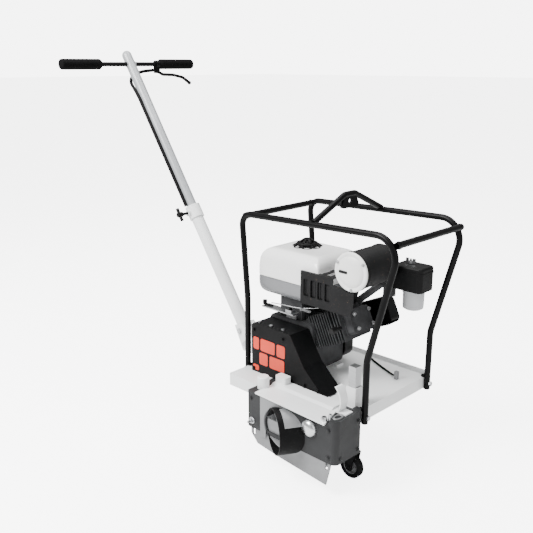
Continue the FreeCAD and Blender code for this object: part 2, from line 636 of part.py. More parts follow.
def make_intake():
    z0 = DECK_TOP + CLEANER_RISE
    x0 = CLEANER_X - CLEANER_LENGTH / 2
    x1 = CLEANER_X + CLEANER_LENGTH / 2
    y0 = CLEANER_Y - CLEANER_WIDTH / 2
    y1 = CLEANER_Y + CLEANER_WIDTH / 2
    case = box(x0, x1, y0, y1, z0, z0 + CLEANER_HEIGHT)
    case = soft_edges(case, Z, 14.0)
    case = case.makeFillet(7.0, [e for e in case.Edges if e.CenterOfMass.z > z0 + CLEANER_HEIGHT - 1])
    stud = Part.makeCylinder(3.0, 16, V(CLEANER_X - 10, CLEANER_Y, z0 + CLEANER_HEIGHT), Z)
    keep("air_cleaner", joined([case, stud]))
    bowl = Part.makeCylinder(33.0, 52, V(CLEANER_X + 6, CLEANER_Y, z0 - 52), Z)
    bowl = bowl.makeFillet(9.0, [e for e in bowl.Edges if e.CenterOfMass.z < z0 - 51])
    drain = Part.makeCylinder(4.0, 8, V(CLEANER_X - 2, CLEANER_Y, z0 - 60), Z)
    keep("cleaner_bowl", joined([bowl, drain]))
    nut_z = z0 + CLEANER_HEIGHT + 1
    hub = Part.makeCylinder(7.0, 9, V(CLEANER_X - 10, CLEANER_Y, nut_z), Z)
    wings = box(CLEANER_X - 26, CLEANER_X + 6, CLEANER_Y - 2, CLEANER_Y + 2, nut_z + 2, nut_z + 16)
    gap = box(CLEANER_X - 17, CLEANER_X - 3, CLEANER_Y - 3, CLEANER_Y + 3, nut_z + 9, nut_z + 17)
    nut = joined([hub, wings.cut(gap)])
    nut_bore = Part.makeCylinder(3.0 + RUNNING, 30, V(CLEANER_X - 10, CLEANER_Y, nut_z - 5), Z)
    keep("wing_nut", nut.cut(nut_bore))
    carb = box(x0 - 52, x0 - 6, y0 + 14, y1 - 14, z0 - 12, z0 + 40)
    carb = soft_edges(carb, X, 8.0)
    bowl_low = Part.makeCylinder(19.0, 26, V(x0 - 29, CLEANER_Y, z0 - 38), Z)
    horn = rod(V(x0 - 8, CLEANER_Y, z0 + 18), V(x0, CLEANER_Y, z0 + 18), 17.0)
    flange_at = lean_frame(box(190, 200, 22, 34, 50, 50.1)).CenterOfMass
    manifold = rod(flange_at, V(x0 - 46, y0 + 22, z0 - 2), 11.0)
    whole = joined([carb, bowl_low, horn, manifold]).cut(PARTS["cylinder_block"])
    keep("carburetor", largest(whole))


def make_controls():
    z = DECK_TOP + TANK_BASE_RISE - 27
    y = TANK_Y - TANK_WIDTH / 2
    plate = box(ENGINE_X - 98, ENGINE_X + 34, y + 2, y + 34, z - 18, z - 14)
    leg = box(ENGINE_X - 20, ENGINE_X + 20, CASE_FRONT_Y, CASE_FRONT_Y + 6, ENGINE_BASE + CASE_HEIGHT, z - 14)
    keep("control_plate", joined([plate, leg]))
    pivot = V(ENGINE_X - 72, y + 18, z - 14)
    lever = box(pivot.x - 34, pivot.x + 6, pivot.y - 6, pivot.y + 6, pivot.z + SLIDE, pivot.z + 4)
    lever = soft_edges(lever, Z, 5.0)
    knob = Part.makeCylinder(7.0, 12, V(pivot.x - 28, pivot.y, pivot.z + 2), Z)
    bore = Part.makeCylinder(2.5 + RUNNING, 30, pivot - Z * 2, Z)
    keep("throttle_lever", joined([lever, knob]).cut(bore))
    keep("control_plate", joined([PARTS["control_plate"], Part.makeCylinder(2.5, 7, pivot - Z, Z)]))
    switch_at = V(ENGINE_X + 10, y + 18, z - 14)
    body = box(switch_at.x - 12, switch_at.x + 12, switch_at.y - 10, switch_at.y + 10,
               switch_at.z, switch_at.z + 8)
    body = body.cut(box(switch_at.x - 8, switch_at.x + 8, switch_at.y - 5, switch_at.y + 5,
                        switch_at.z + 3, switch_at.z + 9))
    keep("control_plate", joined([PARTS["control_plate"], body]))
    rocker = rod(V(switch_at.x, switch_at.y - 4.5, switch_at.z + 7), V(switch_at.x, switch_at.y + 4.5,
                                                                     switch_at.z + 7), 3.6)
    paddle = box(switch_at.x - 2.5, switch_at.x + 2.5, switch_at.y - 4, switch_at.y + 4,
                 switch_at.z + 7, switch_at.z + 16)
    keep("engine_switch", joined([rocker, paddle]))


# ---------------------------------------------------------------- belt drive
def belt_outline(offset):
    """The closed line that a belt takes round both pulleys, offset outwards from their rims."""
    a = V(ENGINE_X, 0, CRANK_Z)
    b = V(ARBOR_X, 0, ARBOR_Z)
    ra = DRIVE_PULLEY_RADIUS + offset
    rb = DRIVEN_PULLEY_RADIUS + offset
    gap = b - a
    lean = math.asin((ra - rb) / gap.Length)
    ahead = gap.normalize()
    edges = []
    ends = []
    for side in (-1, 1):
        across = V(ahead.z, 0, -ahead.x) * side
        normal = ahead * math.sin(lean) + across * math.cos(lean)
        ends.append((a + normal * ra, b + normal * rb))
    back = a - ahead * ra
    front = b + ahead * rb
    edges.append(Part.LineSegment(ends[0][0], ends[0][1]).toShape())
    edges.append(Part.Arc(ends[0][1], front, ends[1][1]).toShape())
    edges.append(Part.LineSegment(ends[1][1], ends[1][0]).toShape())
    edges.append(Part.Arc(ends[1][0], back, ends[0][0]).toShape())
    return Part.Wire(edges)


def make_pulley(name, x, z, radius, bore):
    y0 = PULLEY_Y - PULLEY_WIDTH / 2
    y1 = PULLEY_Y + PULLEY_WIDTH / 2
    wheel = rod_y(x, z, y0, y1, radius)
    groove_half = BELT_WIDTH / 2 + 0.6
    groove = rod_y(x, z, PULLEY_Y - groove_half, PULLEY_Y + groove_half, radius + 1)
    groove = groove.cut(rod_y(x, z, PULLEY_Y - groove_half, PULLEY_Y + groove_half,
                              radius - BELT_DEPTH - 0.6))
    wheel = wheel.cut(groove)
    keep(name, wheel.cut(rod_y(x, z, y0 - 1, y1 + 1, bore)))


def make_drive():
    make_pulley("drive_pulley", ENGINE_X, CRANK_Z, DRIVE_PULLEY_RADIUS, CRANK_RADIUS)
    make_pulley("driven_pulley", ARBOR_X, ARBOR_Z, DRIVEN_PULLEY_RADIUS, ARBOR_RADIUS)
    outer = Part.Face(belt_outline(0.0)).extrude(Y * BELT_WIDTH)
    inner = Part.Face(belt_outline(-BELT_DEPTH)).extrude(Y * BELT_WIDTH)
    belt = outer.cut(inner)
    belt.translate(V(0, PULLEY_Y - BELT_WIDTH / 2, 0))
    keep("drive_belt", belt)

    top = CRANK_Z + DRIVE_PULLEY_RADIUS + 17
    left = ENGINE_X - DRIVE_PULLEY_RADIUS - 49
    right = ENGINE_X + DRIVE_PULLEY_RADIUS + 37
    foot = ARBOR_X - 15
    outline = [(left, DECK_TOP), (left, top - 8), (left + 8, top), (right, top),
               (right + 56, top - 88), (foot, DECK_TOP)]
    shell = plate_xz(outline, GUARD_OUTER_Y, GUARD_INNER_Y)
    t = GUARD_WALL
    inside = [(left + t, DECK_TOP - 1), (left + t, top - 9), (left + 9, top - t), (right - 1, top - t),
              (right + 54, top - 89), (foot - 3.5, DECK_TOP - 1)]
    shell = shell.cut(plate_xz(inside, GUARD_OUTER_Y + t, GUARD_INNER_Y + 1))
    keep("belt_guard", shell)
    bolts = []
    for x in (left + 20, left + 70, left + 120):
        bolts.append(hex_bolt(V(x, GUARD_OUTER_Y + t + 12, top), Z, 10.0, 4.0, 3.0, t + 3))
    BOLTS.extend(bolts)
    guard = PARTS["belt_guard"]
    for bolt in bolts:
        guard = guard.cut(bolt)
    keep("belt_guard", guard)


# ---------------------------------------------------------------- blade head
def make_hood():
    t = HOOD_WALL
    hood = box(HOOD_REAR_X, HOOD_FRONT_X, HOOD_OUTER_Y, HOOD_INNER_Y, HOOD_BOTTOM_Z, DECK_TOP)
    lip_x = HOOD_FRONT_X - 26
    lip = box(lip_x, HOOD_FRONT_X, HOOD_OUTER_Y, HOOD_INNER_Y, DECK_TOP - 20, DECK_TOP + LIP_HEIGHT)
    solid = joined([hood, lip])
    corners = [e for e in edges_along(solid, Z) if e.CenterOfMass.x > HOOD_FRONT_X - 1]
    solid = solid.makeFillet(HOOD_CORNER, corners)
    hollow = box(HOOD_REAR_X + t, HOOD_FRONT_X - t, HOOD_OUTER_Y + t, HOOD_INNER_Y - t,
                 HOOD_BOTTOM_Z - 1, DECK_TOP - t)
    corners = [e for e in edges_along(hollow, Z) if e.CenterOfMass.x > HOOD_FRONT_X - t - 1]
    hollow = hollow.makeFillet(HOOD_CORNER - t, corners)
    solid = solid.cut(hollow)
    solid = solid.cut(rod_y(ARBOR_X, ARBOR_Z, HOOD_INNER_Y - 10, HOOD_INNER_Y + 10, BEARING_RADIUS))
    solid = solid.cut(rod(PORT_AT - PORT_OUT * 90, PORT_AT + PORT_OUT * 90, PORT_RADIUS - PORT_WALL)
                      .common(box(-900, 900, HOOD_OUTER_Y - 90, HOOD_OUTER_Y + t + 1,
                                  HOOD_BOTTOM_Z + 12, DECK_TOP)))
    solid = solid.cut(rod_y(KNOB_X, KNOB_Z, HOOD_OUTER_Y - 1, HOOD_OUTER_Y + t + 1, 5.0))
    keep("blade_hood", solid)

    shelf = [(HOOD_REAR_X + 36, GUARD_OUTER_Y - 1), (HOOD_FRONT_X - 67, GUARD_OUTER_Y - 1),
             (HOOD_FRONT_X - 30, HOOD_OUTER_Y - 15), (HOOD_REAR_X + 36, HOOD_OUTER_Y - 7)]
    shelf_top = DECK_TOP + SHELF_THICKNESS
    shelf = plate_xy(shelf, DECK_TOP, shelf_top)
    raised = [(GUARD_OUTER_Y - 1, DECK_TOP), (GUARD_OUTER_Y - 1, shelf_top + FOLD_RISE),
              (FOLD_Y, shelf_top + FOLD_RISE), (FOLD_Y - 10, shelf_top), (FOLD_Y - 10, DECK_TOP)]
    raised = plate_yz(raised, HOOD_REAR_X + 36, HOOD_FRONT_X - 67)
    bracket = box(HOOD_REAR_X + 36, HOOD_REAR_X + 78, GUARD_OUTER_Y - 30, GUARD_OUTER_Y - 3,
                  DECK_TOP, DECK_TOP + SHELF_BRACKET_HEIGHT)
    bracket = soft_edges(bracket, Z, 5.0)
    cup = Part.makeCylinder(CUP_RADIUS, CUP_HEIGHT, V(CUP_X, CUP_Y, DECK_TOP), Z)
    cup = cup.makeFillet(4.0, [e for e in cup.Edges if e.BoundBox.ZMin > DECK_TOP + CUP_HEIGHT - 1])
    keep("head_shelf", [joined([shelf, raised, bracket]).cut(cup), cup])

    knob = rod_y(KNOB_X, KNOB_Z, HOOD_OUTER_Y - 14, HOOD_OUTER_Y, KNOB_RADIUS)
    knob = knob.makeFillet(11.0, [e for e in knob.Edges if e.CenterOfMass.y < HOOD_OUTER_Y - 13])
    keep("cover_knob", joined([knob, rod_y(KNOB_X, KNOB_Z, HOOD_OUTER_Y - 1, HOOD_OUTER_Y + t, 5.0)]))


def make_arbor():
    t = HOOD_WALL
    half = BLADE_THICKNESS / 2
    housing = rod_y(ARBOR_X, ARBOR_Z, BLADE_Y + 14, HOOD_INNER_Y - t, BEARING_RADIUS + 7)
    flange = rod_y(ARBOR_X, ARBOR_Z, HOOD_INNER_Y - t - 8, HOOD_INNER_Y - t, BEARING_RADIUS + 21)
    housing = joined([housing, flange])
    housing = housing.cut(rod_y(ARBOR_X, ARBOR_Z, BLADE_Y, HOOD_INNER_Y + 5, BEARING_RADIUS))
    keep("arbor_housing", housing)
    rings = []
    for y0 in (BLADE_Y + 15, HOOD_INNER_Y - t - 14):
        ring = rod_y(ARBOR_X, ARBOR_Z, y0, y0 + 12, BEARING_RADIUS)
        rings.append(ring.cut(rod_y(ARBOR_X, ARBOR_Z, y0 - 1, y0 + 13, ARBOR_RADIUS + RUNNING)))
    keep("arbor_bearings", rings)

    end = PULLEY_Y + PULLEY_WIDTH / 2 + 4
    shaft = rod_y(ARBOR_X, ARBOR_Z, BLADE_Y - 22, end, ARBOR_RADIUS)
    collar = rod_y(ARBOR_X, ARBOR_Z, BLADE_Y + half, BLADE_Y + half + 6, COLLAR_RADIUS)
    keep("arbor_shaft", joined([shaft, collar]))
    blade = rod_y(ARBOR_X, ARBOR_Z, BLADE_Y - half, BLADE_Y + half, BLADE_RADIUS)
    slots = 14
    for i in range(slots):
        slot = box(-1.2, 1.2, BLADE_Y - 5, BLADE_Y + 5, BLADE_RADIUS - 9, BLADE_RADIUS + 2)
        slot = slot.fuse(rod_y(0, BLADE_RADIUS - 10, BLADE_Y - 5, BLADE_Y + 5, 2.6))
        slot.rotate(V(0, 0, 0), Y, 360.0 * i / slots)
        slot.translate(V(ARBOR_X, 0, ARBOR_Z))
        blade = blade.cut(slot)
    keep("saw_blade", blade.cut(rod_y(ARBOR_X, ARBOR_Z, BLADE_Y - 5, BLADE_Y + 5, ARBOR_RADIUS)))
    nut_y = BLADE_Y - half - 6
    nut = hex_bolt(V(ARBOR_X, nut_y, ARBOR_Z), Y * -1, 34.0, 12.0, 2.0, 0.5)
    washer = rod_y(ARBOR_X, ARBOR_Z, nut_y, BLADE_Y - half, COLLAR_RADIUS)
    nut = joined([nut, washer])
    keep("arbor_nut", nut.cut(rod_y(ARBOR_X, ARBOR_Z, nut_y - 20, nut_y + 9, ARBOR_RADIUS)))


def make_port():
    outside = box(-900, 900, HOOD_OUTER_Y - 200, HOOD_OUTER_Y, 0, 900)
    tube = pipe(PORT_AT - PORT_OUT * 120, PORT_AT + PORT_OUT * PORT_REACH, PORT_RADIUS,
                PORT_RADIUS - PORT_WALL)
    keep("dust_port", largest(tube.common(outside)))
    band = pipe(PORT_AT - PORT_OUT * 32, PORT_AT + PORT_OUT * 16, PORT_RADIUS + 2.5, PORT_RADIUS)
    across = V(-PORT_OUT.y, PORT_OUT.x, 0)
    wedge = []
    reach = PORT_RADIUS * 2
    for turn in (2, 30, 58):
        angle = math.radians(turn)
        wedge.append(PORT_AT + across * (reach * math.sin(angle)) + Z * (reach * math.cos(angle)))
    wedge = [PORT_AT] + wedge
    wedge = [corner - PORT_OUT * 60 for corner in wedge]
    wedge = Part.Face(Part.makePolygon(wedge + wedge[:1])).extrude(PORT_OUT * 120)
    band = largest(band.common(wedge).common(outside))
    strap = [(HOOD_REAR_X + 53, HOOD_BOTTOM_Z - 14), (HOOD_REAR_X + 76, HOOD_BOTTOM_Z - 14),
             (HOOD_REAR_X + 76, PORT_Z), (PORT_X + 10, PORT_Z), (PORT_X + 10, DECK_TOP - 2),
             (HOOD_REAR_X + 53, DECK_TOP - 2)]
    strap = plate_xz(strap, HOOD_OUTER_Y - 3, HOOD_OUTER_Y)
    strap = strap.cut(rod(PORT_AT - PORT_OUT * 120, PORT_AT + PORT_OUT * 60, PORT_RADIUS))
    keep("port_strap", joined([largest(strap), band]))


def make_skirt():
    t = HOOD_WALL
    plate_y = HOOD_OUTER_Y + t + 2
    skirt = [(HOOD_REAR_X + 6, 160), (HOOD_REAR_X + 8, 88), (HOOD_REAR_X + 34, 61), (30, 50), (204, 37),
             (222, 112), (222, 160)]
    skirt = plate_xz(skirt, plate_y, plate_y + 4)
    studs = []
    for x, z in ((HOOD_REAR_X + 20, 150.0), (205.0, 150.0)):
        slot = box(x - 4.5, x + 4.5, plate_y - 1, plate_y + 5, z - SKIRT_TRAVEL - 4.5, z + 4.5)
        skirt = skirt.cut(slot)
        studs += [rod_y(x, z, HOOD_OUTER_Y + 1, plate_y + 8, 4.0), rod_y(x, z, plate_y + 5, plate_y + 8, 7.0)]
    keep("skirt_plate", skirt)
    keep("blade_hood", joined([PARTS["blade_hood"]] + studs))

    strap_x = HOOD_FRONT_X - 30
    centre = V(strap_x - 56, HOOD_OUTER_Y + 50, DECK_TOP + 44)
    outer = Part.makeCylinder(60.0, 30, centre, Y)
    inner = Part.makeCylinder(56.0, 32, centre - Y, Y)
    arc = box(strap_x - 30, strap_x + 10, HOOD_OUTER_Y + 40, HOOD_OUTER_Y + 90, DECK_TOP + LIP_HEIGHT,
              DECK_TOP + 86)
    strap = outer.cut(inner).common(arc)
    foot = box(strap_x - 14, strap_x + 22, HOOD_OUTER_Y + 50, HOOD_OUTER_Y + 80, DECK_TOP + LIP_HEIGHT,
               DECK_TOP + LIP_HEIGHT + 4)
    keep("hood_strap", joined([strap, foot]))


# ---------------------------------------------------------------- handle
def make_handle():
    cheeks = [box(-HALF_DECK - 6, -HALF_DECK, -29, 29, RIDE_HEIGHT + 2, DECK_TOP - 2)]
    inner = LOWER_POLE_RADIUS + FREE
    for side in (-1, 1):
        y0 = side * inner
        y1 = side * (inner + 6)
        outline = [(-HALF_DECK - 6, RIDE_HEIGHT + 2), (-HALF_DECK - 6, DECK_TOP - 2), (-330, DECK_TOP - 2),
                   (-400, DECK_TOP + 62), (-438, DECK_TOP + 46), (-396, RIDE_HEIGHT + 2)]
        cheeks.append(plate_xz(outline, min(y0, y1), max(y0, y1)))
    yoke = joined(cheeks)
    bolts = []
    for distance in (22.0, 72.0):
        at = along_pole(distance)
        reach = inner + 6
        bolts.append(hex_bolt(at - Y * reach, Y * -1, 16.0, 6.5, 5.0, 2 * reach + 8))
    for bolt in bolts:
        yoke = yoke.cut(bolt)
    keep("handle_yoke", yoke)
    BOLTS.extend(bolts)

    lower = pipe(along_pole(0), along_pole(LOWER_POLE_LENGTH), LOWER_POLE_RADIUS,
                 LOWER_POLE_RADIUS - LOWER_POLE_WALL)
    knob_at = along_pole(LOWER_POLE_LENGTH - 22)
    for bolt in bolts:
        lower = lower.cut(bolt)
    lower = lower.cut(rod(knob_at - Y * 80, knob_at, 5.0 + RUNNING))
    keep("lower_pole", lower)
    collar = pipe(along_pole(LOWER_POLE_LENGTH - 46), along_pole(LOWER_POLE_LENGTH + 2),
                  LOWER_POLE_RADIUS + 5, LOWER_POLE_RADIUS)
    boss = rod(knob_at - Y * (LOWER_POLE_RADIUS + 12), knob_at - Y * LOWER_POLE_RADIUS, 11.0)
    collar = joined([collar, boss])
    collar = collar.cut(rod(along_pole(400), along_pole(LOWER_POLE_LENGTH + 9), LOWER_POLE_RADIUS))
    keep("clamp_collar", collar.cut(rod(knob_at - Y * 80, knob_at, 5.0 + RUNNING)))
    tip = -(UPPER_POLE_RADIUS + 0.6)
    screw = rod(knob_at + Y * (tip - 44), knob_at + Y * tip, 5.0)
    grip_at = knob_at + Y * (tip - 52)
    hub = rod(knob_at + Y * (tip - 60), knob_at + Y * (tip - 40), 9.0)
    bar = rod(grip_at - POLE_AXIS * 24, grip_at + POLE_AXIS * 24, 6.0)
    keep("clamp_knob", joined([screw, hub, bar]))

    upper = pipe(along_pole(UPPER_POLE_START), along_pole(UPPER_POLE_END), UPPER_POLE_RADIUS,
                 UPPER_POLE_RADIUS - UPPER_POLE_WALL)
    bar_at = along_pole(HANDLE_AT)
    upper = upper.cut(rod(bar_at - Y * 60, bar_at + Y * 60, BAR_RADIUS))
    ball = Part.makeSphere(UPPER_POLE_RADIUS, along_pole(UPPER_POLE_END))
    half_space = rod(along_pole(UPPER_POLE_END), along_pole(UPPER_POLE_END + 60), 60.0)
    keep("upper_pole", joined([upper, ball.common(half_space)]))
    bar = pipe(bar_at - Y * HANDLE_HALF_WIDTH, bar_at + Y * HANDLE_HALF_WIDTH, BAR_RADIUS, BAR_RADIUS - 2)
    keep("t_bar", bar)
    grips = []
    for side in (-1, 1):
        inner_end = bar_at + Y * side * (HANDLE_HALF_WIDTH - GRIP_LENGTH)
        outer_end = bar_at + Y * side * (HANDLE_HALF_WIDTH + 3)
        grip = rod(inner_end, outer_end, GRIP_RADIUS)
        grip = grip.makeFillet(4.0, [e for e in grip.Edges if not isinstance(e.Curve, Part.Line)])
        grips.append(grip.cut(rod(inner_end - Y * side, bar_at + Y * side * HANDLE_HALF_WIDTH, BAR_RADIUS)))
    keep("hand_grips", grips)

    pivot = bar_at + V(0, LEVER_Y, -27)
    ring = pipe(bar_at + Y * (LEVER_Y - 10), bar_at + Y * (LEVER_Y + 7), BAR_RADIUS + 6, BAR_RADIUS)
    bracket = [ring]
    for side in (-1, 1):
        x0 = pivot.x + side * (LEVER_RADIUS + 1)
        x1 = pivot.x + side * (LEVER_RADIUS + 4)
        ear = box(min(x0, x1), max(x0, x1), pivot.y - 10, pivot.y + 6, pivot.z - 7, bar_at.z - BAR_RADIUS - 2)
        bracket.append(ear)
    half = LEVER_RADIUS + 4
    web = box(pivot.x - half, pivot.x + half, pivot.y - 10, pivot.y - 7.3, pivot.z - 3,
              bar_at.z - BAR_RADIUS - 2)
    bracket.append(web)
    bracket = joined(bracket)
    bracket = bracket.cut(rod(pivot - X * 20, pivot + X * 20, 3.0))
    keep("lever_bracket", joined([bracket, rod(pivot - X * half, pivot + X * half, 3.0)]))
    points = [pivot, pivot + V(0, 26, -12), pivot + V(0, 78, -14), pivot + V(0, 126, -24),
              pivot + V(0, 160, -46)]
    lever = bent_tube(points, [22.0, 60.0, 60.0], LEVER_RADIUS)
    reach = LEVER_RADIUS + 0.6
    boss = rod(pivot - X * reach, pivot + X * reach, LEVER_RADIUS + 1)
    tip = Part.makeSphere(LEVER_RADIUS + 1.5, points[-1])
    lever = joined([lever, boss, tip])
    keep("hand_lever", lever.cut(rod(pivot - X * 20, pivot + X * 20, 3.0 + RUNNING)))

    side = -(UPPER_POLE_RADIUS + CABLE_RADIUS + 0.5)
    back = -(UPPER_POLE_RADIUS + CABLE_RADIUS + 4)
    route = [bar_at + V(0, LEVER_Y - 10, -22), bar_at + V(-12, 66, -26),
             along_pole(HANDLE_AT - 26, back, 16), along_pole(HANDLE_AT - 62, back + 6, side + 6),
             along_pole(HANDLE_AT - 130, -3, side), along_pole(LOWER_POLE_LENGTH + 8, -3, side)]
    radii = []
    for i in range(1, len(route) - 1):
        before = route[i] - route[i - 1]
        after = route[i + 1] - route[i]
        turn = before.getAngle(after)
        radii.append(0.45 * min(before.Length, after.Length) / math.tan(turn / 2))
    keep("control_cable", largest(bent_tube(route, radii, CABLE_RADIUS).cut(PARTS["lever_bracket"])))


def main():
    make_deck()
    make_rear_wheels()
    make_front_wheel()
    make_cage()
    make_engine()
    make_drive()
    make_hood()
    make_arbor()
    make_port()
    make_skirt()
    make_handle()
    keep("frame_bolts", BOLTS)
    os.makedirs("parts", exist_ok=True)
    whole = Part.makeCompound(list(PARTS.values()))
    size = whole.optimalBoundingBox(False, False)
    print("nodes:", len(PARTS))
    print("box:", [round(v, 2) for v in (size.XMin, size.XMax, size.YMin, size.YMax, size.ZMin, size.ZMax)])
    middle = V((size.XMin + size.XMax) / 2, (size.YMin + size.YMax) / 2, 0)
    for name, shape in sorted(PARTS.items()):
        placed = shape.copy()
        placed.translate(middle * -1)
        placed.exportStep("parts/" + name + ".step")


main()
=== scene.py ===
"""Walk-behind concrete saw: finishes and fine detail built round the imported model."""

import json
import math

import bmesh
import bpy
from bpy.props import FloatProperty, FloatVectorProperty, IntProperty, PointerProperty
from mathutils import Matrix, Vector


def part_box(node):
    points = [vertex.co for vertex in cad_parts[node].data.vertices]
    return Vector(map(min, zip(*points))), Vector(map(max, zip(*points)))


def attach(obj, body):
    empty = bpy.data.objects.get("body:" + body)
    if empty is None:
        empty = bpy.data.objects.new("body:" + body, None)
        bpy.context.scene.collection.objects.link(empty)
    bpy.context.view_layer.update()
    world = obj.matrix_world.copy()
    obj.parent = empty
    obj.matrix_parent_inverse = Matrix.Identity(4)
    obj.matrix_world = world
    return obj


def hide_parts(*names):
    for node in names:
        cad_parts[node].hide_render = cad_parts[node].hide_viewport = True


bl_info = {
    "name": "Walk-behind concrete saw",
    "version": (1, 0, 0),
    "blender": (4, 5, 0),
    "location": "3D Viewport > Sidebar > Saw",
    "description": "Builds the finishes and the fine detail of a walk-behind concrete saw",
    "category": "Object",
}

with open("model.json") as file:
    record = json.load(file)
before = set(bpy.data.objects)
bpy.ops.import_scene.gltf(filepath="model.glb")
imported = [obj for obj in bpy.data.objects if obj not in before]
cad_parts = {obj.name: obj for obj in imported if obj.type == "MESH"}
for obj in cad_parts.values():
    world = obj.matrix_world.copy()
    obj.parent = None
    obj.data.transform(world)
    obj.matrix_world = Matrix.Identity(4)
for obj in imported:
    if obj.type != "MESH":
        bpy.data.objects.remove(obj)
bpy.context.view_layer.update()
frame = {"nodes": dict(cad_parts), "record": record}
NODES = frame["nodes"]
MM = 0.001
TOUCHING = 0.00001
HOOP_Y = 159.0
DECK_TOP = 229.0
HOOD_FACE_Y = -292.0
CYLINDER_LEAN = math.radians(25.0)


# ---------------------------------------------------------------- places read from the frame
def low(node):
    """The lowest corner of a node's box."""
    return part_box(node)[0]


def high(node):
    """The highest corner of a node's box."""
    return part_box(node)[1]


def middle(node):
    """The middle of a node's box."""
    return (low(node) + high(node)) / 2


DECK_MIDDLE = Vector((middle("deck_pan").x, (middle("left_hoop").y + middle("right_hoop").y) / 2, 0.0))
X = Vector((1.0, 0.0, 0.0))
Y = Vector((0.0, 1.0, 0.0))
Z = Vector((0.0, 0.0, 1.0))


def at(x, y, z):
    """A place in millimetres from the middle of the deck, at ground height."""
    return DECK_MIDDLE + Vector((x, y, z)) * MM


def half_width(node):
    """Half of a node's size along X, which is the radius of a round one."""
    return (high(node).x - low(node).x) / 2


def upright_spoke(angle):
    """A direction in the upright plane that faces the operator's side, turned by an angle from +X."""
    return Vector((math.cos(angle), 0.0, math.sin(angle)))


# ---------------------------------------------------------------- finishes
def node_material(name):
    """An empty material with its shader, its output and its Object coordinates."""
    material = bpy.data.materials.new(name)
    material.use_nodes = True
    tree = material.node_tree
    tree.nodes.clear()
    output = tree.nodes.new("ShaderNodeOutputMaterial")
    shader = tree.nodes.new("ShaderNodeBsdfPrincipled")
    place = tree.nodes.new("ShaderNodeTexCoord")
    tree.links.new(shader.outputs["BSDF"], output.inputs["Surface"])
    return material, tree, shader, place


def add_noise(tree, place, scale, detail=4.0, roughness=0.6):
    """A noise pattern on the Object coordinates."""
    noise = tree.nodes.new("ShaderNodeTexNoise")
    noise.inputs["Scale"].default_value = scale
    noise.inputs["Detail"].default_value = detail
    noise.inputs["Roughness"].default_value = roughness
    tree.links.new(place.outputs["Object"], noise.inputs["Vector"])
    return noise


def add_ramp(tree, factor, stops):
    """A colour ramp with its stops, each a position and a colour."""
    ramp = tree.nodes.new("ShaderNodeValToRGB")
    elements = ramp.color_ramp.elements
    while len(elements) < len(stops):
        elements.new(0.5)
    for element, (position, color) in zip(elements, stops):
        element.position = position
        element.color = (color[0], color[1], color[2], 1.0)
    tree.links.new(factor, ramp.inputs["Fac"])
    return ramp


def shade(color, factor):
    """A colour made lighter or darker."""
    return tuple(min(1.0, channel * factor) for channel in color[:3])


def mottled(name, color, rough, metallic=0.0, patch=9.0, spread=0.12, grain=220.0, bump=0.08,
            coat=0.0, shine=0.5, chip=None, chip_share=0.3):
    """A finish with soft patches of tone, uneven gloss, a fine grain and, if wanted, small chips."""
    material, tree, shader, place = node_material(name)
    patches = add_noise(tree, place, patch)
    tone = add_ramp(tree, patches.outputs["Fac"],
                    [(0.32, shade(color, 1 - spread)), (0.68, shade(color, 1 + spread))])
    surface = tone.outputs["Color"]
    if chip:
        specks = add_noise(tree, place, patch * 6.0, 6.0, 0.75)
        start = 0.72 - chip_share * 0.2
        end = 0.76 - chip_share * 0.2
        mask = add_ramp(tree, specks.outputs["Fac"], [(start, (0.0, 0.0, 0.0)), (end, (1.0, 1.0, 1.0))])
        mix = tree.nodes.new("ShaderNodeMix")
        mix.data_type = "RGBA"
        mix.inputs["B"].default_value = (chip[0], chip[1], chip[2], 1.0)
        tree.links.new(mask.outputs["Color"], mix.inputs["Factor"])
        tree.links.new(surface, mix.inputs["A"])
        surface = mix.outputs["Result"]
    tree.links.new(surface, shader.inputs["Base Color"])
    gloss = tree.nodes.new("ShaderNodeMapRange")
    gloss.inputs["To Min"].default_value = max(0.03, rough - 0.08)
    gloss.inputs["To Max"].default_value = min(1.0, rough + 0.1)
    smear = add_noise(tree, place, patch * 3.0)
    tree.links.new(smear.outputs["Fac"], gloss.inputs["Value"])
    tree.links.new(gloss.outputs["Result"], shader.inputs["Roughness"])
    fine = add_noise(tree, place, grain, 2.0)
    relief = tree.nodes.new("ShaderNodeBump")
    relief.inputs["Strength"].default_value = bump
    relief.inputs["Distance"].default_value = 0.0006
    tree.links.new(fine.outputs["Fac"], relief.inputs["Height"])
    tree.links.new(relief.outputs["Normal"], shader.inputs["Normal"])
    shader.inputs["Metallic"].default_value = metallic
    shader.inputs["Specular IOR Level"].default_value = shine
    shader.inputs["Coat Weight"].default_value = coat
    shader.inputs["Coat Roughness"].default_value = 0.12
    return material


def brushed(name, color, rough, axis, stretch=60.0):
    """Bare metal with fine scratches that run along one axis."""
    material, tree, shader, place = node_material(name)
    mapping = tree.nodes.new("ShaderNodeMapping")
    scale = [stretch] * 3
    scale[axis] = 1.0
    mapping.inputs["Scale"].default_value = scale
    tree.links.new(place.outputs["Object"], mapping.inputs["Vector"])
    lines = tree.nodes.new("ShaderNodeTexNoise")
    lines.inputs["Scale"].default_value = 20.0
    lines.inputs["Detail"].default_value = 3.0
    tree.links.new(mapping.outputs["Vector"], lines.inputs["Vector"])
    tone = add_ramp(tree, lines.outputs["Fac"], [(0.3, shade(color, 0.82)), (0.7, shade(color, 1.12))])
    tree.links.new(tone.outputs["Color"], shader.inputs["Base Color"])
    gloss = tree.nodes.new("ShaderNodeMapRange")
    gloss.inputs["To Min"].default_value = rough - 0.08
    gloss.inputs["To Max"].default_value = rough + 0.12
    tree.links.new(lines.outputs["Fac"], gloss.inputs["Value"])
    tree.links.new(gloss.outputs["Result"], shader.inputs["Roughness"])
    shader.inputs["Metallic"].default_value = 1.0
    return material


FINISHES = {}


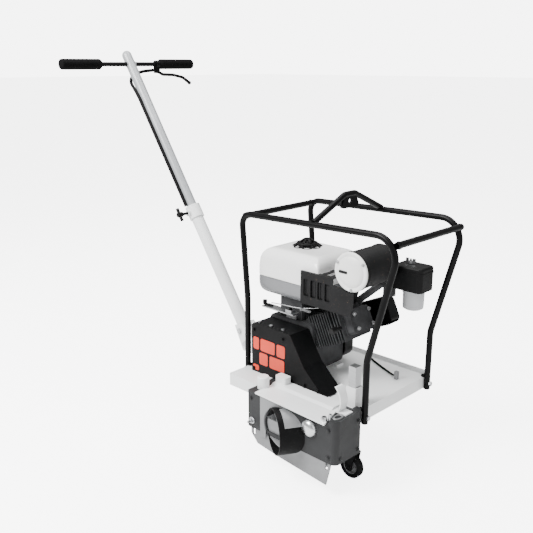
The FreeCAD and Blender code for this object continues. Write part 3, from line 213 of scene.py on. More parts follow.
def make_finishes(look):
    """Every finish of the saw, by the name of the record's material slot."""
    white = tuple(look.white_paint)
    black = tuple(look.black_paint)
    grime = (0.3, 0.29, 0.27)
    bare = (0.11, 0.11, 0.11)
    rubber = shade(black, 0.9)
    FINISHES.update({
        "white_paint": mottled("white_paint", white, 0.34, patch=6.0, spread=0.03, grain=300.0, coat=0.3,
                               chip=grime, chip_share=0.05),
        "grey_paint": mottled("grey_paint", tuple(look.pole_grey), 0.36, patch=7.0, spread=0.07, coat=0.2,
                              chip=(0.6, 0.6, 0.6), chip_share=0.1),
        "hood_grey": mottled("hood_grey", tuple(look.hood_grey), 0.5, patch=11.0, spread=0.18, bump=0.14,
                             shine=0.2, chip=(0.06, 0.06, 0.062), chip_share=0.3),
        "black_paint": mottled("black_paint", black, 0.34, patch=14.0, spread=0.3, grain=260.0, shine=0.1,
                               chip=bare, chip_share=0.06),
        "guard_black": mottled("guard_black", shade(black, 1.2), 0.5, patch=12.0, spread=0.3, bump=0.14,
                               shine=0.12, chip=bare, chip_share=0.15),
        "grip_rubber": mottled("grip_rubber", rubber, 0.75, patch=30.0, spread=0.25, bump=0.3, shine=0.08),
        "black_plastic": mottled("black_plastic", rubber, 0.5, patch=24.0, spread=0.25, bump=0.12,
                                 shine=0.14),
        "cable_black": mottled("cable_black", rubber, 0.55, patch=40.0, spread=0.25, shine=0.1),
        "tank_white": mottled("tank_white", tuple(look.tank_white), 0.24, patch=5.0, spread=0.02, coat=0.5),
        # tank_grey is painted shade: a darker copy of the tank's white for its lower half, standing in for
        # the shade on the tank's sides under the lit top.
        "tank_grey": mottled("tank_grey", tuple(look.tank_grey), 0.36, patch=7.0, spread=0.08, coat=0.3),
        "burnt_steel": mottled("burnt_steel", shade(black, 2.0), 0.6, patch=18.0, spread=0.4, bump=0.3,
                               shine=0.2, chip=(0.05, 0.035, 0.025), chip_share=0.5),
        "pale_disc": mottled("pale_disc", (0.8, 0.8, 0.78), 0.4, patch=16.0, spread=0.05,
                             chip=(0.45, 0.43, 0.4), chip_share=0.12),
        "bowl_grey": mottled("bowl_grey", (0.46, 0.47, 0.48), 0.35, patch=12.0, spread=0.06),
        "cast_alloy": mottled("cast_alloy", (0.045, 0.046, 0.048), 0.55, 0.4, patch=16.0, spread=0.35,
                              grain=160.0, bump=0.45, shine=0.3, chip=(0.14, 0.14, 0.14), chip_share=0.25),
        "cast_iron_grey": mottled("cast_iron_grey", (0.1, 0.1, 0.105), 0.55, 0.6, patch=16.0, spread=0.25,
                                  bump=0.4, chip=(0.12, 0.06, 0.03), chip_share=0.25),
        "shroud_black": mottled("shroud_black", shade(black, 1.4), 0.4, patch=12.0, spread=0.3, shine=0.14,
                                chip=bare, chip_share=0.06),
        "plug_cap": mottled("plug_cap", rubber, 0.5, patch=30.0, spread=0.2, shine=0.3),
        "port_black": mottled("port_black", rubber, 0.5, patch=14.0, spread=0.35, bump=0.2, shine=0.1,
                              chip=(0.03, 0.03, 0.03), chip_share=0.3),
        "light_steel": mottled("light_steel", tuple(look.plate_grey), 0.42, 0.3, patch=10.0, spread=0.12,
                               bump=0.12, chip=(0.2, 0.19, 0.18), chip_share=0.15),
        "wheel_rubber": mottled("wheel_rubber", shade(black, 1.2), 0.78, patch=22.0, spread=0.25, bump=0.3,
                                shine=0.2, chip=(0.06, 0.058, 0.055), chip_share=0.3),
        "belt_rubber": mottled("belt_rubber", rubber, 0.7, patch=26.0, spread=0.2, shine=0.2),
        "orange_paint": mottled("orange_paint", tuple(look.orange), 0.4, patch=18.0, spread=0.1,
                                chip=(0.02, 0.02, 0.02), chip_share=0.1),
        "fin_shade": mottled("fin_shade", shade(black, 1.6), 0.6, patch=16.0, spread=0.3, shine=0.25),
        "zinc_steel": brushed("zinc_steel", (0.42, 0.425, 0.43), 0.38, 0),
        "bright_steel": brushed("bright_steel", (0.55, 0.56, 0.57), 0.3, 1),
        "blade_steel": brushed("blade_steel", (0.5, 0.51, 0.52), 0.28, 0),
        "bright_knob": brushed("bright_knob", (0.7, 0.71, 0.72), 0.25, 1, 30.0),
    })


def finish_piece(name, mesh, body, slot, smooth_angle=35.0, replaced=()):
    """Turns a bmesh into a piece that rides on a body and wears a finish."""
    bmesh.ops.recalc_face_normals(mesh, faces=mesh.faces)
    data = bpy.data.meshes.new(name)
    mesh.to_mesh(data)
    mesh.free()
    data.shade_smooth()
    data.set_sharp_from_angle(angle=math.radians(smooth_angle))
    piece = bpy.data.objects.new(name, data)
    bpy.context.scene.collection.objects.link(piece)
    data.materials.append(FINISHES[slot])
    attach(piece, body)
    if replaced:
        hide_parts(*replaced)
    return piece


def bevel_all(mesh, width, segments=3, angle=30.0):
    """Rounds the edges of a mesh that are sharper than an angle."""
    sharp = [e for e in mesh.edges if e.is_manifold and e.calc_face_angle() > math.radians(angle)]
    bmesh.ops.bevel(mesh, geom=sharp, offset=width, offset_type="OFFSET", affect="EDGES", segments=segments,
                    profile=0.5, material=-1, clamp_overlap=True)


def round_edges_along(mesh, axis, width, segments):
    """Rounds only the edges that run along an axis."""
    along = [e for e in mesh.edges if abs((e.verts[0].co - e.verts[1].co).normalized().dot(axis)) > 0.9]
    bmesh.ops.bevel(mesh, geom=along, offset=width, offset_type="OFFSET", affect="EDGES", segments=segments,
                    profile=0.5, material=-1, clamp_overlap=True)


def add_block(mesh, corner_low, corner_high):
    """A block between two corners."""
    size = corner_high - corner_low
    stretch = Matrix.Diagonal((size.x, size.y, size.z, 1.0))
    place = Matrix.Translation((corner_low + corner_high) / 2) @ stretch
    return bmesh.ops.create_cube(mesh, size=1.0, matrix=place)["verts"]


def add_spun(mesh, profile, centre, axis, steps=48):
    """A solid of revolution: a profile of (radius, distance along the axis) spun round the axis."""
    axis = axis.normalized()
    side = axis.orthogonal().normalized()
    verts = [mesh.verts.new(centre + side * radius + axis * along) for radius, along in profile]
    edges = [mesh.edges.new((a, b)) for a, b in zip(verts, verts[1:])]
    bmesh.ops.spin(mesh, geom=verts + edges, cent=centre, axis=axis, angle=math.tau, steps=steps,
                   use_merge=True)
    bmesh.ops.remove_doubles(mesh, verts=mesh.verts, dist=TOUCHING)


def add_hex(mesh, centre, axis, across, height):
    """A hexagon bolt head with a washer under it, its underside at the centre."""
    turn = axis.to_track_quat("Z", "Y").to_matrix().to_4x4()
    washer = Matrix.Translation(centre + axis * 0.0006) @ turn
    bmesh.ops.create_cone(mesh, cap_ends=True, segments=24, radius1=across * 0.8, radius2=across * 0.8,
                          depth=0.0012, matrix=washer)
    head = Matrix.Translation(centre + axis * (0.0012 + height / 2)) @ turn
    bmesh.ops.create_cone(mesh, cap_ends=True, segments=6, radius1=across * 0.577, radius2=across * 0.54,
                          depth=height, matrix=head)


def add_ring(mesh, centre, axis, radius, thick, steps=32):
    """A round ring, such as a weld bead, about an axis."""
    axis = axis.normalized()
    side = axis.orthogonal().normalized()
    turn = Matrix((side, axis, side.cross(axis))).transposed().to_4x4()
    section = bmesh.ops.create_circle(mesh, cap_ends=False, segments=10, radius=thick,
                                      matrix=Matrix.Translation(centre + side * radius) @ turn)["verts"]
    edges = list({edge for vert in section for edge in vert.link_edges})
    bmesh.ops.spin(mesh, geom=section + edges, cent=centre, axis=axis, angle=math.tau, steps=steps,
                   use_merge=True)
    bmesh.ops.remove_doubles(mesh, verts=mesh.verts, dist=TOUCHING)


def add_rod(name, points, radius, slot):
    """A stiff round rod of the chassis through points, as a smooth curve made a mesh."""
    curve = bpy.data.curves.new(name, "CURVE")
    curve.dimensions = "3D"
    curve.bevel_depth = radius
    curve.bevel_resolution = 6
    curve.resolution_u = 10
    curve.use_fill_caps = True
    spline = curve.splines.new("NURBS")
    spline.points.add(len(points) - 1)
    for point, place in zip(spline.points, points):
        point.co = (place.x, place.y, place.z, 1.0)
    spline.order_u = 3
    spline.use_endpoint_u = True
    holder = bpy.data.objects.new(name + "_line", curve)
    bpy.context.scene.collection.objects.link(holder)
    bpy.context.view_layer.update()
    data = bpy.data.meshes.new_from_object(holder.evaluated_get(bpy.context.evaluated_depsgraph_get()))
    bpy.data.objects.remove(holder)
    mesh = bmesh.new()
    mesh.from_mesh(data)
    bmesh.ops.remove_doubles(mesh, verts=mesh.verts, dist=TOUCHING)
    return finish_piece(name, mesh, "chassis", slot)


# ---------------------------------------------------------------- sizes and colours that a user would change
class SawLook(bpy.types.PropertyGroup):
    """Colours of the saw."""

    white_paint: FloatVectorProperty(name="White paint", description="Deck, shelf and lower pole",
                                     default=(0.78, 0.79, 0.79), subtype="COLOR", min=0.0, max=1.0)
    tank_white: FloatVectorProperty(name="Tank", description="Upper half of the fuel tank",
                                    default=(0.84, 0.84, 0.83), subtype="COLOR", min=0.0, max=1.0)
    pole_grey: FloatVectorProperty(name="Upper pole", description="Sliding half of the handle pole",
                                   default=(0.3, 0.31, 0.32), subtype="COLOR", min=0.0, max=1.0)
    hood_grey: FloatVectorProperty(name="Blade hood", description="Box round the blade",
                                   default=(0.022, 0.0225, 0.0235), subtype="COLOR", min=0.0, max=1.0)
    black_paint: FloatVectorProperty(name="Cage", description="Cage tubes, bail and guard",
                                     default=(0.0022, 0.0022, 0.0024), subtype="COLOR", min=0.0, max=1.0)
    # The tank base colour is painted shade: the lower half is coloured darker where the tank's sides fall in
    # shade under its white top.
    tank_grey: FloatVectorProperty(name="Tank base", description="Lower half of the fuel tank",
                                   default=(0.15, 0.153, 0.16), subtype="COLOR", min=0.0, max=1.0)
    plate_grey: FloatVectorProperty(name="Plates", description="Skirt plate and port strap",
                                    default=(0.2, 0.203, 0.207), subtype="COLOR", min=0.0, max=1.0)
    orange: FloatVectorProperty(name="Guard blocks", description="Painted blocks on the belt guard",
                                default=(0.62, 0.03, 0.001), subtype="COLOR", min=0.0, max=1.0)


class SawDetail(bpy.types.PropertyGroup):
    """Sizes of the fine detail."""

    grip_ribs: IntProperty(name="Grip ribs", description="Ribs along each hand grip",
                           default=22, min=4, max=60)
    rib_depth: FloatProperty(name="Rib depth", description="How deep the grooves of a grip are",
                             default=0.0009, unit="LENGTH")
    cap_lobes: IntProperty(name="Cap lobes", description="Open lobes round the fuel cap",
                           default=7, min=3, max=12)
    tread_grooves: IntProperty(name="Tread grooves", description="Grooves round each tyre",
                               default=3, min=0, max=8)
    weld_bead: FloatProperty(name="Weld bead", description="Radius of a weld bead on the cage",
                             default=0.0022, unit="LENGTH")
    rod_radius: FloatProperty(name="Deck rod", description="Radius of the thin rod on the deck",
                              default=0.0032, unit="LENGTH")
    disc_dome: FloatProperty(name="Disc dome", description="How far the exhaust disc bulges",
                             default=0.006, unit="LENGTH")


class SawStage(bpy.types.PropertyGroup):
    """Camera, light and floor."""

    camera_place: FloatVectorProperty(name="Camera", description="Where the camera stands",
                                      default=(1.701, -1.6318, 1.165), subtype="TRANSLATION", unit="LENGTH")
    camera_turn: FloatProperty(name="Turn", description="How far the camera turns to the left of +Y",
                               default=math.radians(44.56), subtype="ANGLE")
    camera_drop: FloatProperty(name="Drop", description="How far the camera looks down",
                               default=math.radians(15.7), subtype="ANGLE")
    camera_lens: FloatProperty(name="Lens", description="Focal length on a 36 mm sensor", default=48.74,
                               subtype="DISTANCE_CAMERA")
    key_power: FloatProperty(name="Key light", description="Strength of the main light", default=330.0,
                             subtype="POWER")
    fill_power: FloatProperty(name="Fill light", description="Strength of the side light", default=30.0,
                              subtype="POWER")
    sky: FloatProperty(name="Room light", description="Strength of the even white light all round",
                       default=0.55)
    backdrop: FloatProperty(name="Backdrop", description="Brightness of the white behind the saw",
                            default=6.5)
    floor_glow: FloatProperty(name="Floor glow", description="How brightly the camera sees the floor",
                              default=5.0)


# ---------------------------------------------------------------- operators
class SAW_OT_stage(bpy.types.Operator):
    """Builds the floor, the lights and the camera"""

    bl_idname = "saw.stage"
    bl_label = "Stage"

    def execute(self, context):
        stage = context.scene.saw_stage
        scene = context.scene
        mesh = bmesh.new()
        bmesh.ops.create_grid(mesh, x_segments=1, y_segments=1, size=60.0)
        data = bpy.data.meshes.new("floor")
        mesh.to_mesh(data)
        mesh.free()
        floor = bpy.data.objects.new("floor", data)
        scene.collection.objects.link(floor)
        floor.location.z = -0.0005
        paper = mottled("floor_paper", (0.86, 0.86, 0.86), 0.85, patch=0.6, spread=0.01, grain=40.0,
                        bump=0.02)
        paper_shader = paper.node_tree.nodes["Principled BSDF"]
        paper_shader.inputs["Emission Color"].default_value = (1.0, 1.0, 1.0, 1.0)
        seen = paper.node_tree.nodes.new("ShaderNodeLightPath")
        glow = paper.node_tree.nodes.new("ShaderNodeMath")
        glow.operation = "MULTIPLY"
        glow.inputs[1].default_value = stage.floor_glow
        paper.node_tree.links.new(seen.outputs["Is Camera Ray"], glow.inputs[0])
        paper.node_tree.links.new(glow.outputs["Value"], paper_shader.inputs["Emission Strength"])
        data.materials.append(paper)
        world = bpy.data.worlds.new("room")
        world.use_nodes = True
        tree = world.node_tree
        background = tree.nodes["Background"]
        background.inputs["Color"].default_value = (1.0, 1.0, 1.0, 1.0)
        background.inputs["Strength"].default_value = stage.sky
        backdrop = tree.nodes.new("ShaderNodeBackground")
        backdrop.inputs["Color"].default_value = (1.0, 1.0, 1.0, 1.0)
        backdrop.inputs["Strength"].default_value = stage.backdrop
        ray = tree.nodes.new("ShaderNodeLightPath")
        mix = tree.nodes.new("ShaderNodeMixShader")
        tree.links.new(ray.outputs["Is Camera Ray"], mix.inputs["Fac"])
        tree.links.new(background.outputs["Background"], mix.inputs[1])
        tree.links.new(backdrop.outputs["Background"], mix.inputs[2])
        tree.links.new(mix.outputs["Shader"], tree.nodes["World Output"].inputs["Surface"])
        scene.world = world
        aim = Vector((0.2, 0.0, 0.45))
        for name, place, size, power in (
            ("key_light", Vector((-0.7, -2.6, 3.1)), 1.6, stage.key_power),
            ("fill_light", Vector((3.2, -0.6, 1.6)), 2.6, stage.fill_power),
            ("top_light", Vector((0.1, 0.4, 3.4)), 2.4, stage.key_power * 0.35),
        ):
            light = bpy.data.lights.new(name, "AREA")
            light.size = size
            light.energy = power
            lamp = bpy.data.objects.new(name, light)
            lamp.location = place
            lamp.rotation_euler = (aim - place).to_track_quat("-Z", "Y").to_euler()
            scene.collection.objects.link(lamp)
        lens = bpy.data.cameras.new("camera")
        lens.lens = stage.camera_lens
        lens.sensor_width = 36.0
        lens.clip_end = 200.0
        camera = bpy.data.objects.new("camera", lens)
        camera.location = stage.camera_place
        camera.rotation_euler = (math.pi / 2 - stage.camera_drop, 0.0, stage.camera_turn)
        scene.collection.objects.link(camera)
        scene.camera = camera
        return {"FINISHED"}


class SAW_OT_finishes(bpy.types.Operator):
    """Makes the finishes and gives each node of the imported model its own"""

    bl_idname = "saw.finishes"
    bl_label = "Finishes"

    def execute(self, context):
        make_finishes(context.scene.saw_look)
        slots = {entry["node"]: entry["material_slot"] for entry in frame["record"]["subparts"]}
        for node, piece in NODES.items():
            piece.data.materials.clear()
            piece.data.materials.append(FINISHES[slots[node]])
        NODES["front_post"].data.materials[0] = FINISHES["zinc_steel"]
        return {"FINISHED"}


def rounded_tank(node, foot_inset, crown_inset, foot_rise, crown_drop):
    """A soft box the size of a node, drawn in at its foot and its crown."""
    lowest, highest = low(node), high(node)
    corner = 0.018
    mesh = bmesh.new()
    add_block(mesh, lowest, highest)
    cuts = [(lowest + X * corner, X), (highest - X * corner, X),
            (lowest + Y * corner, Y), (highest - Y * corner, Y),
            (lowest + Z * foot_rise, Z), (highest - Z * crown_drop, Z)]
    for place, normal in cuts:
        geometry = mesh.verts[:] + mesh.edges[:] + mesh.faces[:]
        bmesh.ops.bisect_plane(mesh, geom=geometry, dist=TOUCHING, plane_co=place, plane_no=normal)
    centre = (lowest + highest) / 2
    size = highest - lowest
    for height, inset in ((lowest.z, foot_inset), (highest.z, crown_inset)):
        ring = [v for v in mesh.verts if abs(v.co.z - height) < TOUCHING]
        scale = Vector((1 - 2 * inset / size.x, 1 - 2 * inset / size.y, 1.0))
        bmesh.ops.scale(mesh, verts=ring, vec=scale, space=Matrix.Translation(-centre))
    return mesh


def soften(piece, levels=3):
    """Adds a subdivision surface to a piece."""
    modifier = piece.modifiers.new("smooth", "SUBSURF")
    modifier.levels = levels
    modifier.render_levels = levels


class SAW_OT_tank(bpy.types.Operator):
    """Builds the soft halves of the fuel tank, its neck and the open-lobed cap"""

    bl_idname = "saw.tank"
    bl_label = "Fuel tank"

    def execute(self, context):
        detail = context.scene.saw_detail
        # The lower half wears the darker tank grey, painted shade for the tank's sides under the white top.
        mesh = rounded_tank("tank_lower", 0.022, 0.0, 0.014, 0.004)
        soften(finish_piece("tank_base", mesh, "chassis", "tank_grey", replaced=("tank_lower",)))
        cap_middle = middle("fuel_cap")
        top = high("tank_upper").z - 6.0 * MM
        mesh = rounded_tank("tank_upper", 0.0, 0.026, 0.003, 0.024)
        crown = [v for v in mesh.verts if v.co.z > top]
        bmesh.ops.translate(mesh, verts=crown, vec=Z * (top - high("tank_upper").z + 2.0 * MM))
        soften(finish_piece("tank_top", mesh, "chassis", "tank_white", replaced=("tank_upper",)))
        mesh = bmesh.new()
        foot = Vector((cap_middle.x, cap_middle.y, top - 0.006))
        neck = [(0.0, 0.0), (0.03, 0.0), (0.03, 0.007), (0.027, 0.009), (0.0245, 0.013), (0.0, 0.013)]
        add_spun(mesh, neck, foot, Z)
        finish_piece("tank_neck", mesh, "chassis", "black_plastic")
        mesh = bmesh.new()
        deck = high("fuel_cap").z - 0.019
        hub = Vector((cap_middle.x, cap_middle.y, deck - 0.004))
        boss = [(0.0, 0.0), (0.021, 0.0), (0.021, 0.008), (0.017, 0.014), (0.012, 0.0185), (0.0, 0.02)]
        add_spun(mesh, boss, hub, Z)
        outer = half_width("fuel_cap")
        for turn in range(detail.cap_lobes):
            angle = math.tau * turn / detail.cap_lobes
            spoke = Vector((math.cos(angle), math.sin(angle), 0.0))
            place = Vector((cap_middle.x, cap_middle.y, deck - 0.001)) + spoke * (outer - 0.0125)
            add_ring(mesh, place, Z + spoke * 0.45, 0.0145, 0.0032, 20)
            place = Vector((cap_middle.x, cap_middle.y, deck + 0.0115)) + spoke * (outer - 0.028)
            add_ring(mesh, place, Z + spoke * 0.8, 0.0095, 0.0028, 20)
        add_ring(mesh, Vector((cap_middle.x, cap_middle.y, deck + 0.004)), Z, 0.03, 0.004)
        finish_piece("cap_wheel", mesh, "fuel_cap", "black_plastic", replaced=("fuel_cap",))
        return {"FINISHED"}


class SAW_OT_exhaust(bpy.types.Operator):
    """Builds the domed exhaust disc, a dark bar of painted shade for its outlet slot, its screws, and the
    bands round the muffler
    """

    bl_idname = "saw.exhaust"
    bl_label = "Exhaust"

    def execute(self, context):
        dome = context.scene.saw_detail.disc_dome
        centre = middle("muffler_end")
        face = Vector((centre.x, high("muffler_end").y, centre.z))
        rim = half_width("muffler_end")
        mesh = bmesh.new()
        profile = [(0.0, 0.004 + dome), (rim * 0.3, 0.004 + dome * 0.93), (rim * 0.55, 0.004 + dome * 0.72),
                   (rim * 0.72, 0.004 + dome * 0.42), (rim * 0.78, 0.0035), (rim * 0.82, 0.0035),
                   (rim * 0.86, 0.005), (rim * 0.94, 0.005), (rim * 0.985, 0.0035), (rim, 0.0015),
                   (rim, 0.0), (0.0, 0.0)]
        add_spun(mesh, profile, face, -Y, 72)
        finish_piece("exhaust_disc", mesh, "chassis", "pale_disc", replaced=("muffler_end",))
        # The slot is a dark raised bar, not an opening: its burnt colour stands partly for soot and partly
        # for painted shade inside the outlet.
        mesh = bmesh.new()
        front = face.y - 0.004 - dome
        slot_low = Vector((centre.x - 0.037, front - 0.0016, centre.z - 0.006))
        slot_high = Vector((centre.x - 0.007, front + 0.006, centre.z + 0.002))
        add_block(mesh, slot_low, slot_high)
        bevel_all(mesh, 0.0018)
        finish_piece("exhaust_slot_shade_bar", mesh, "chassis", "burnt_steel")
        mesh = bmesh.new()
        for angle in (0.6, 2.7, 4.8):
            place = face + upright_spoke(angle) * rim * 0.9 - Y * 0.005
            add_hex(mesh, place, -Y, 0.006, 0.0028)
        finish_piece("disc_screws", mesh, "chassis", "zinc_steel")
        mesh = bmesh.new()
        for share in (0.06, 0.9):
            y = face.y + (high("muffler_body").y - face.y) * share
            add_ring(mesh, Vector((centre.x, y + 0.004, centre.z)), Y, rim - 0.0022, 0.0022, 64)
        finish_piece("muffler_bands", mesh, "chassis", "burnt_steel")
        return {"FINISHED"}


class SAW_OT_painted_shade(bpy.types.Operator):
    """Builds a dark ribbed sheet behind the windows of the muffler guard: painted shade that makes the
    windows read dark
    """

    bl_idname = "saw.lining"
    bl_label = "Guard painted shade"

    def execute(self, context):
        lowest, highest = low("muffler_guard"), high("muffler_guard")
        back = lowest.y + 0.0052
        # The sheet and its ribs, in the dark fin_shade finish, are painted shade put where the windows show
        # only shadow.
        mesh = bmesh.new()
        add_block(mesh, Vector((lowest.x + 0.003, back, lowest.z + 0.003)),
                  Vector((lowest.x + 0.118, back + 0.0012, lowest.z + 0.097)))
        for step in range(6):
            x = lowest.x + 0.012 + step * 0.019
            add_block(mesh, Vector((x, back - 0.0018, lowest.z + 0.01)),
                      Vector((x + 0.005, back + 0.0002, lowest.z + 0.09)))
        bevel_all(mesh, 0.0004, 2)
        finish_piece("guard_painted_shade", mesh, "chassis", "fin_shade")
        return {"FINISHED"}


class SAW_OT_guard(bpy.types.Operator):
    """Builds the painted blocks and the screws of the belt guard"""

    bl_idname = "saw.guard"
    bl_label = "Belt guard"

    def execute(self, context):
        face = low("belt_guard").y
        mesh = bmesh.new()
        rows = (
            (306.0, 346.0, ((-184.0, -160.0), (-153.0, -92.0), (-84.0, -50.0))),
            (260.0, 299.0, ((-158.0, -122.0), (-114.0, -52.0))),
            (236.0, 254.0, ((-186.0, -160.0),)),
        )
        for bottom, top, blocks in rows:
            for left, right in blocks:
                corner_low = at(left, 0.0, bottom)
                corner_high = at(right, 0.0, top)
                corner_low.y = face - 0.0008
                corner_high.y = face + 0.001
                add_block(mesh, corner_low, corner_high)
        round_edges_along(mesh, Y, 0.006, 4)
        finish_piece("guard_blocks", mesh, "chassis", "orange_paint")
        mesh = bmesh.new()
        for x, z in ((-182.0, 368.0), (-60.0, 368.0), (-182.0, 240.0), (30.0, 246.0), (84.0, 246.0)):
            place = at(x, 0.0, z)
            place.y = face
            add_hex(mesh, place, -Y, 0.008, 0.004)
        finish_piece("guard_screws", mesh, "chassis", "black_paint")
        return {"FINISHED"}


class SAW_OT_head(bpy.types.Operator):
    """Builds the bolts, the stud, the eye, the pins and the domed knob of the blade head"""

    bl_idname = "saw.head"
    bl_label = "Blade head"

    def execute(self, context):
        hood_high = high("blade_hood")
        mesh = bmesh.new()
        side = at(0.0, HOOD_FACE_Y, 0.0).y
        for x, z in ((-86.0, 205.0), (214.0, 128.0), (214.0, 210.0)):
            place = at(x, 0.0, z)
            place.y = side
            add_hex(mesh, place, -Y, 0.008, 0.004)
        for y, z in ((-270.0, 126.0), (-194.0, 126.0), (-194.0, 214.0)):
            place = at(0.0, y, z)
            place.x = hood_high.x
            add_hex(mesh, place, X, 0.008, 0.004)
        finish_piece("hood_bolts", mesh, "chassis", "hood_grey")
        mesh = bmesh.new()
        stud = at(-82.0, 0.0, 133.0)
        stud.y = side
        add_hex(mesh, stud, -Y, 0.013, 0.007)
        add_spun(mesh, [(0.0, 0.0), (0.004, 0.0), (0.004, 0.017), (0.003, 0.019), (0.0, 0.019)], stud, -Y, 16)
        finish_piece("hood_stud", mesh, "chassis", "bright_steel")
        mesh = bmesh.new()
        eye = at(222.0, -262.0, 242.0)
        add_ring(mesh, eye, Z, 0.0125, 0.003)
        bmesh.ops.scale(mesh, verts=mesh.verts, vec=Vector((0.72, 1.25, 1.0)), space=Matrix.Translation(-eye))
        finish_piece("rim_eye", mesh, "chassis", "light_steel")
        mesh = bmesh.new()
        for x, y, radius, height in ((196.0, -290.0, 0.009, 0.016), (206.0, -276.0, 0.006, 0.022)):
            foot = at(x, y, DECK_TOP)
            profile = [(0.0, 0.0), (radius, 0.0), (radius, height * 0.7), (radius * 0.7, height),
                       (0.0, height)]
            add_spun(mesh, profile, foot, Z, 24)
        finish_piece("strap_pins", mesh, "chassis", "bright_knob")
        mesh = bmesh.new()
        knob = middle("cover_knob")
        radius = half_width("cover_knob")
        face = Vector((knob.x, side, knob.z))
        profile = [(0.0, 0.0), (radius, 0.0), (radius, 0.004), (radius * 0.97, 0.0075),
                   (radius * 0.85, 0.0115), (radius * 0.62, 0.015), (radius * 0.32, 0.0172), (0.0, 0.018)]
        add_spun(mesh, profile, face, -Y, 56)
        finish_piece("knob_dome", mesh, "chassis", "bright_knob", replaced=("cover_knob",))
        return {"FINISHED"}


class SAW_OT_wheels(bpy.types.Operator):
    """Builds the grooved tyres and dished hubs of the three wheels"""

    bl_idname = "saw.wheels"
    bl_label = "Wheels"

    def execute(self, context):
        grooves = context.scene.saw_detail.tread_grooves
        for node in ("rear_wheel_left", "rear_wheel_right", "front_wheel"):
            centre = middle(node)
            radius = (high(node).z - low(node).z) / 2
            half = (high(node).y - low(node).y) / 2
            rim = radius * 0.62
            shoulder = half * 0.35
            tread = [(radius - shoulder * 0.5, -half + shoulder * 0.4), (radius, -half + shoulder)]
            span = 2 * (half - shoulder)
            for index in range(grooves):
                y = -half + shoulder + span * (index + 1) / (grooves + 1)
                width = span * 0.05
                tread += [(radius, y - width), (radius - 0.0022, y - width * 0.6),
                          (radius - 0.0022, y + width * 0.6), (radius, y + width)]
            tread += [(radius, half - shoulder), (radius - shoulder * 0.5, half - shoulder * 0.4)]
            profile = [(rim, -half * 0.8), (rim + (radius - rim) * 0.4, -half)] + tread
            profile += [(rim + (radius - rim) * 0.4, half), (rim, half * 0.8), (rim, -half * 0.8)]
            mesh = bmesh.new()
            add_spun(mesh, profile, centre, Y, 64)
            finish_piece(node + "_tyre", mesh, node, "wheel_rubber", 25.0, (node,))
            bore = radius * 0.125
            dish = half * 0.45
            outward = [(bore, half * 0.95), (radius * 0.24, half * 0.95), (radius * 0.26, dish * 0.5),
                       (rim * 0.82, dish * 0.4), (rim * 0.93, half * 0.7), (rim, half * 0.76)]
            profile = [(r, -y) for r, y in outward] + outward[::-1] + [(bore, -half * 0.95)]
            mesh = bmesh.new()
            add_spun(mesh, profile, centre, Y, 56)
            for turn in range(5):
                spoke = upright_spoke(math.tau * turn / 5) * rim * 0.6
                for side in (-1, 1):
                    place = centre + spoke + Y * side * dish * 0.42
                    add_hex(mesh, place, Y * side, radius * 0.09, radius * 0.04)
            finish_piece(node + "_hub", mesh, node, "light_steel", 25.0)
        return {"FINISHED"}


class SAW_OT_handle(bpy.types.Operator):
    """Builds the ribbed grips and the weld beads of the bar"""

    bl_idname = "saw.handle"
    bl_label = "Handle"

    def execute(self, context):
        detail = context.scene.saw_detail
        lowest, highest = low("hand_grips"), high("hand_grips")
        axis_x, axis_z = (lowest.x + highest.x) / 2, (lowest.z + highest.z) / 2
        radius = 19.0 * MM
        bore = (high("t_bar").z - low("t_bar").z) / 2
        length = 163.0 * MM
        mesh = bmesh.new()
        for side, end in ((-1, lowest.y), (1, highest.y)):
            start = end - side * length
            profile = [(bore, 0.0), (radius * 0.78, 0.0), (radius, 0.006)]
            pitch = (length - 0.02) / detail.grip_ribs
            for index in range(detail.grip_ribs):
                along = 0.008 + pitch * index
                profile += [(radius, along), (radius, along + pitch * 0.55),
                            (radius - detail.rib_depth, along + pitch * 0.68),
                            (radius - detail.rib_depth, along + pitch * 0.88)]
            profile += [(radius, length - 0.008), (radius * 0.94, length - 0.002), (radius * 0.8, length),
                        (0.0, length)]
            add_spun(mesh, profile, Vector((axis_x, start, axis_z)), Y * side, 40)
        finish_piece("ribbed_grips", mesh, "handle", "grip_rubber", 40.0, ("hand_grips",))
        bar = middle("t_bar")
        mesh = bmesh.new()
        for side in (-1, 1):
            add_ring(mesh, bar + Y * side * 17.6 * MM, Y, bore + 0.0012, 0.002)
        finish_piece("bar_welds", mesh, "handle", "grey_paint")
        return {"FINISHED"}


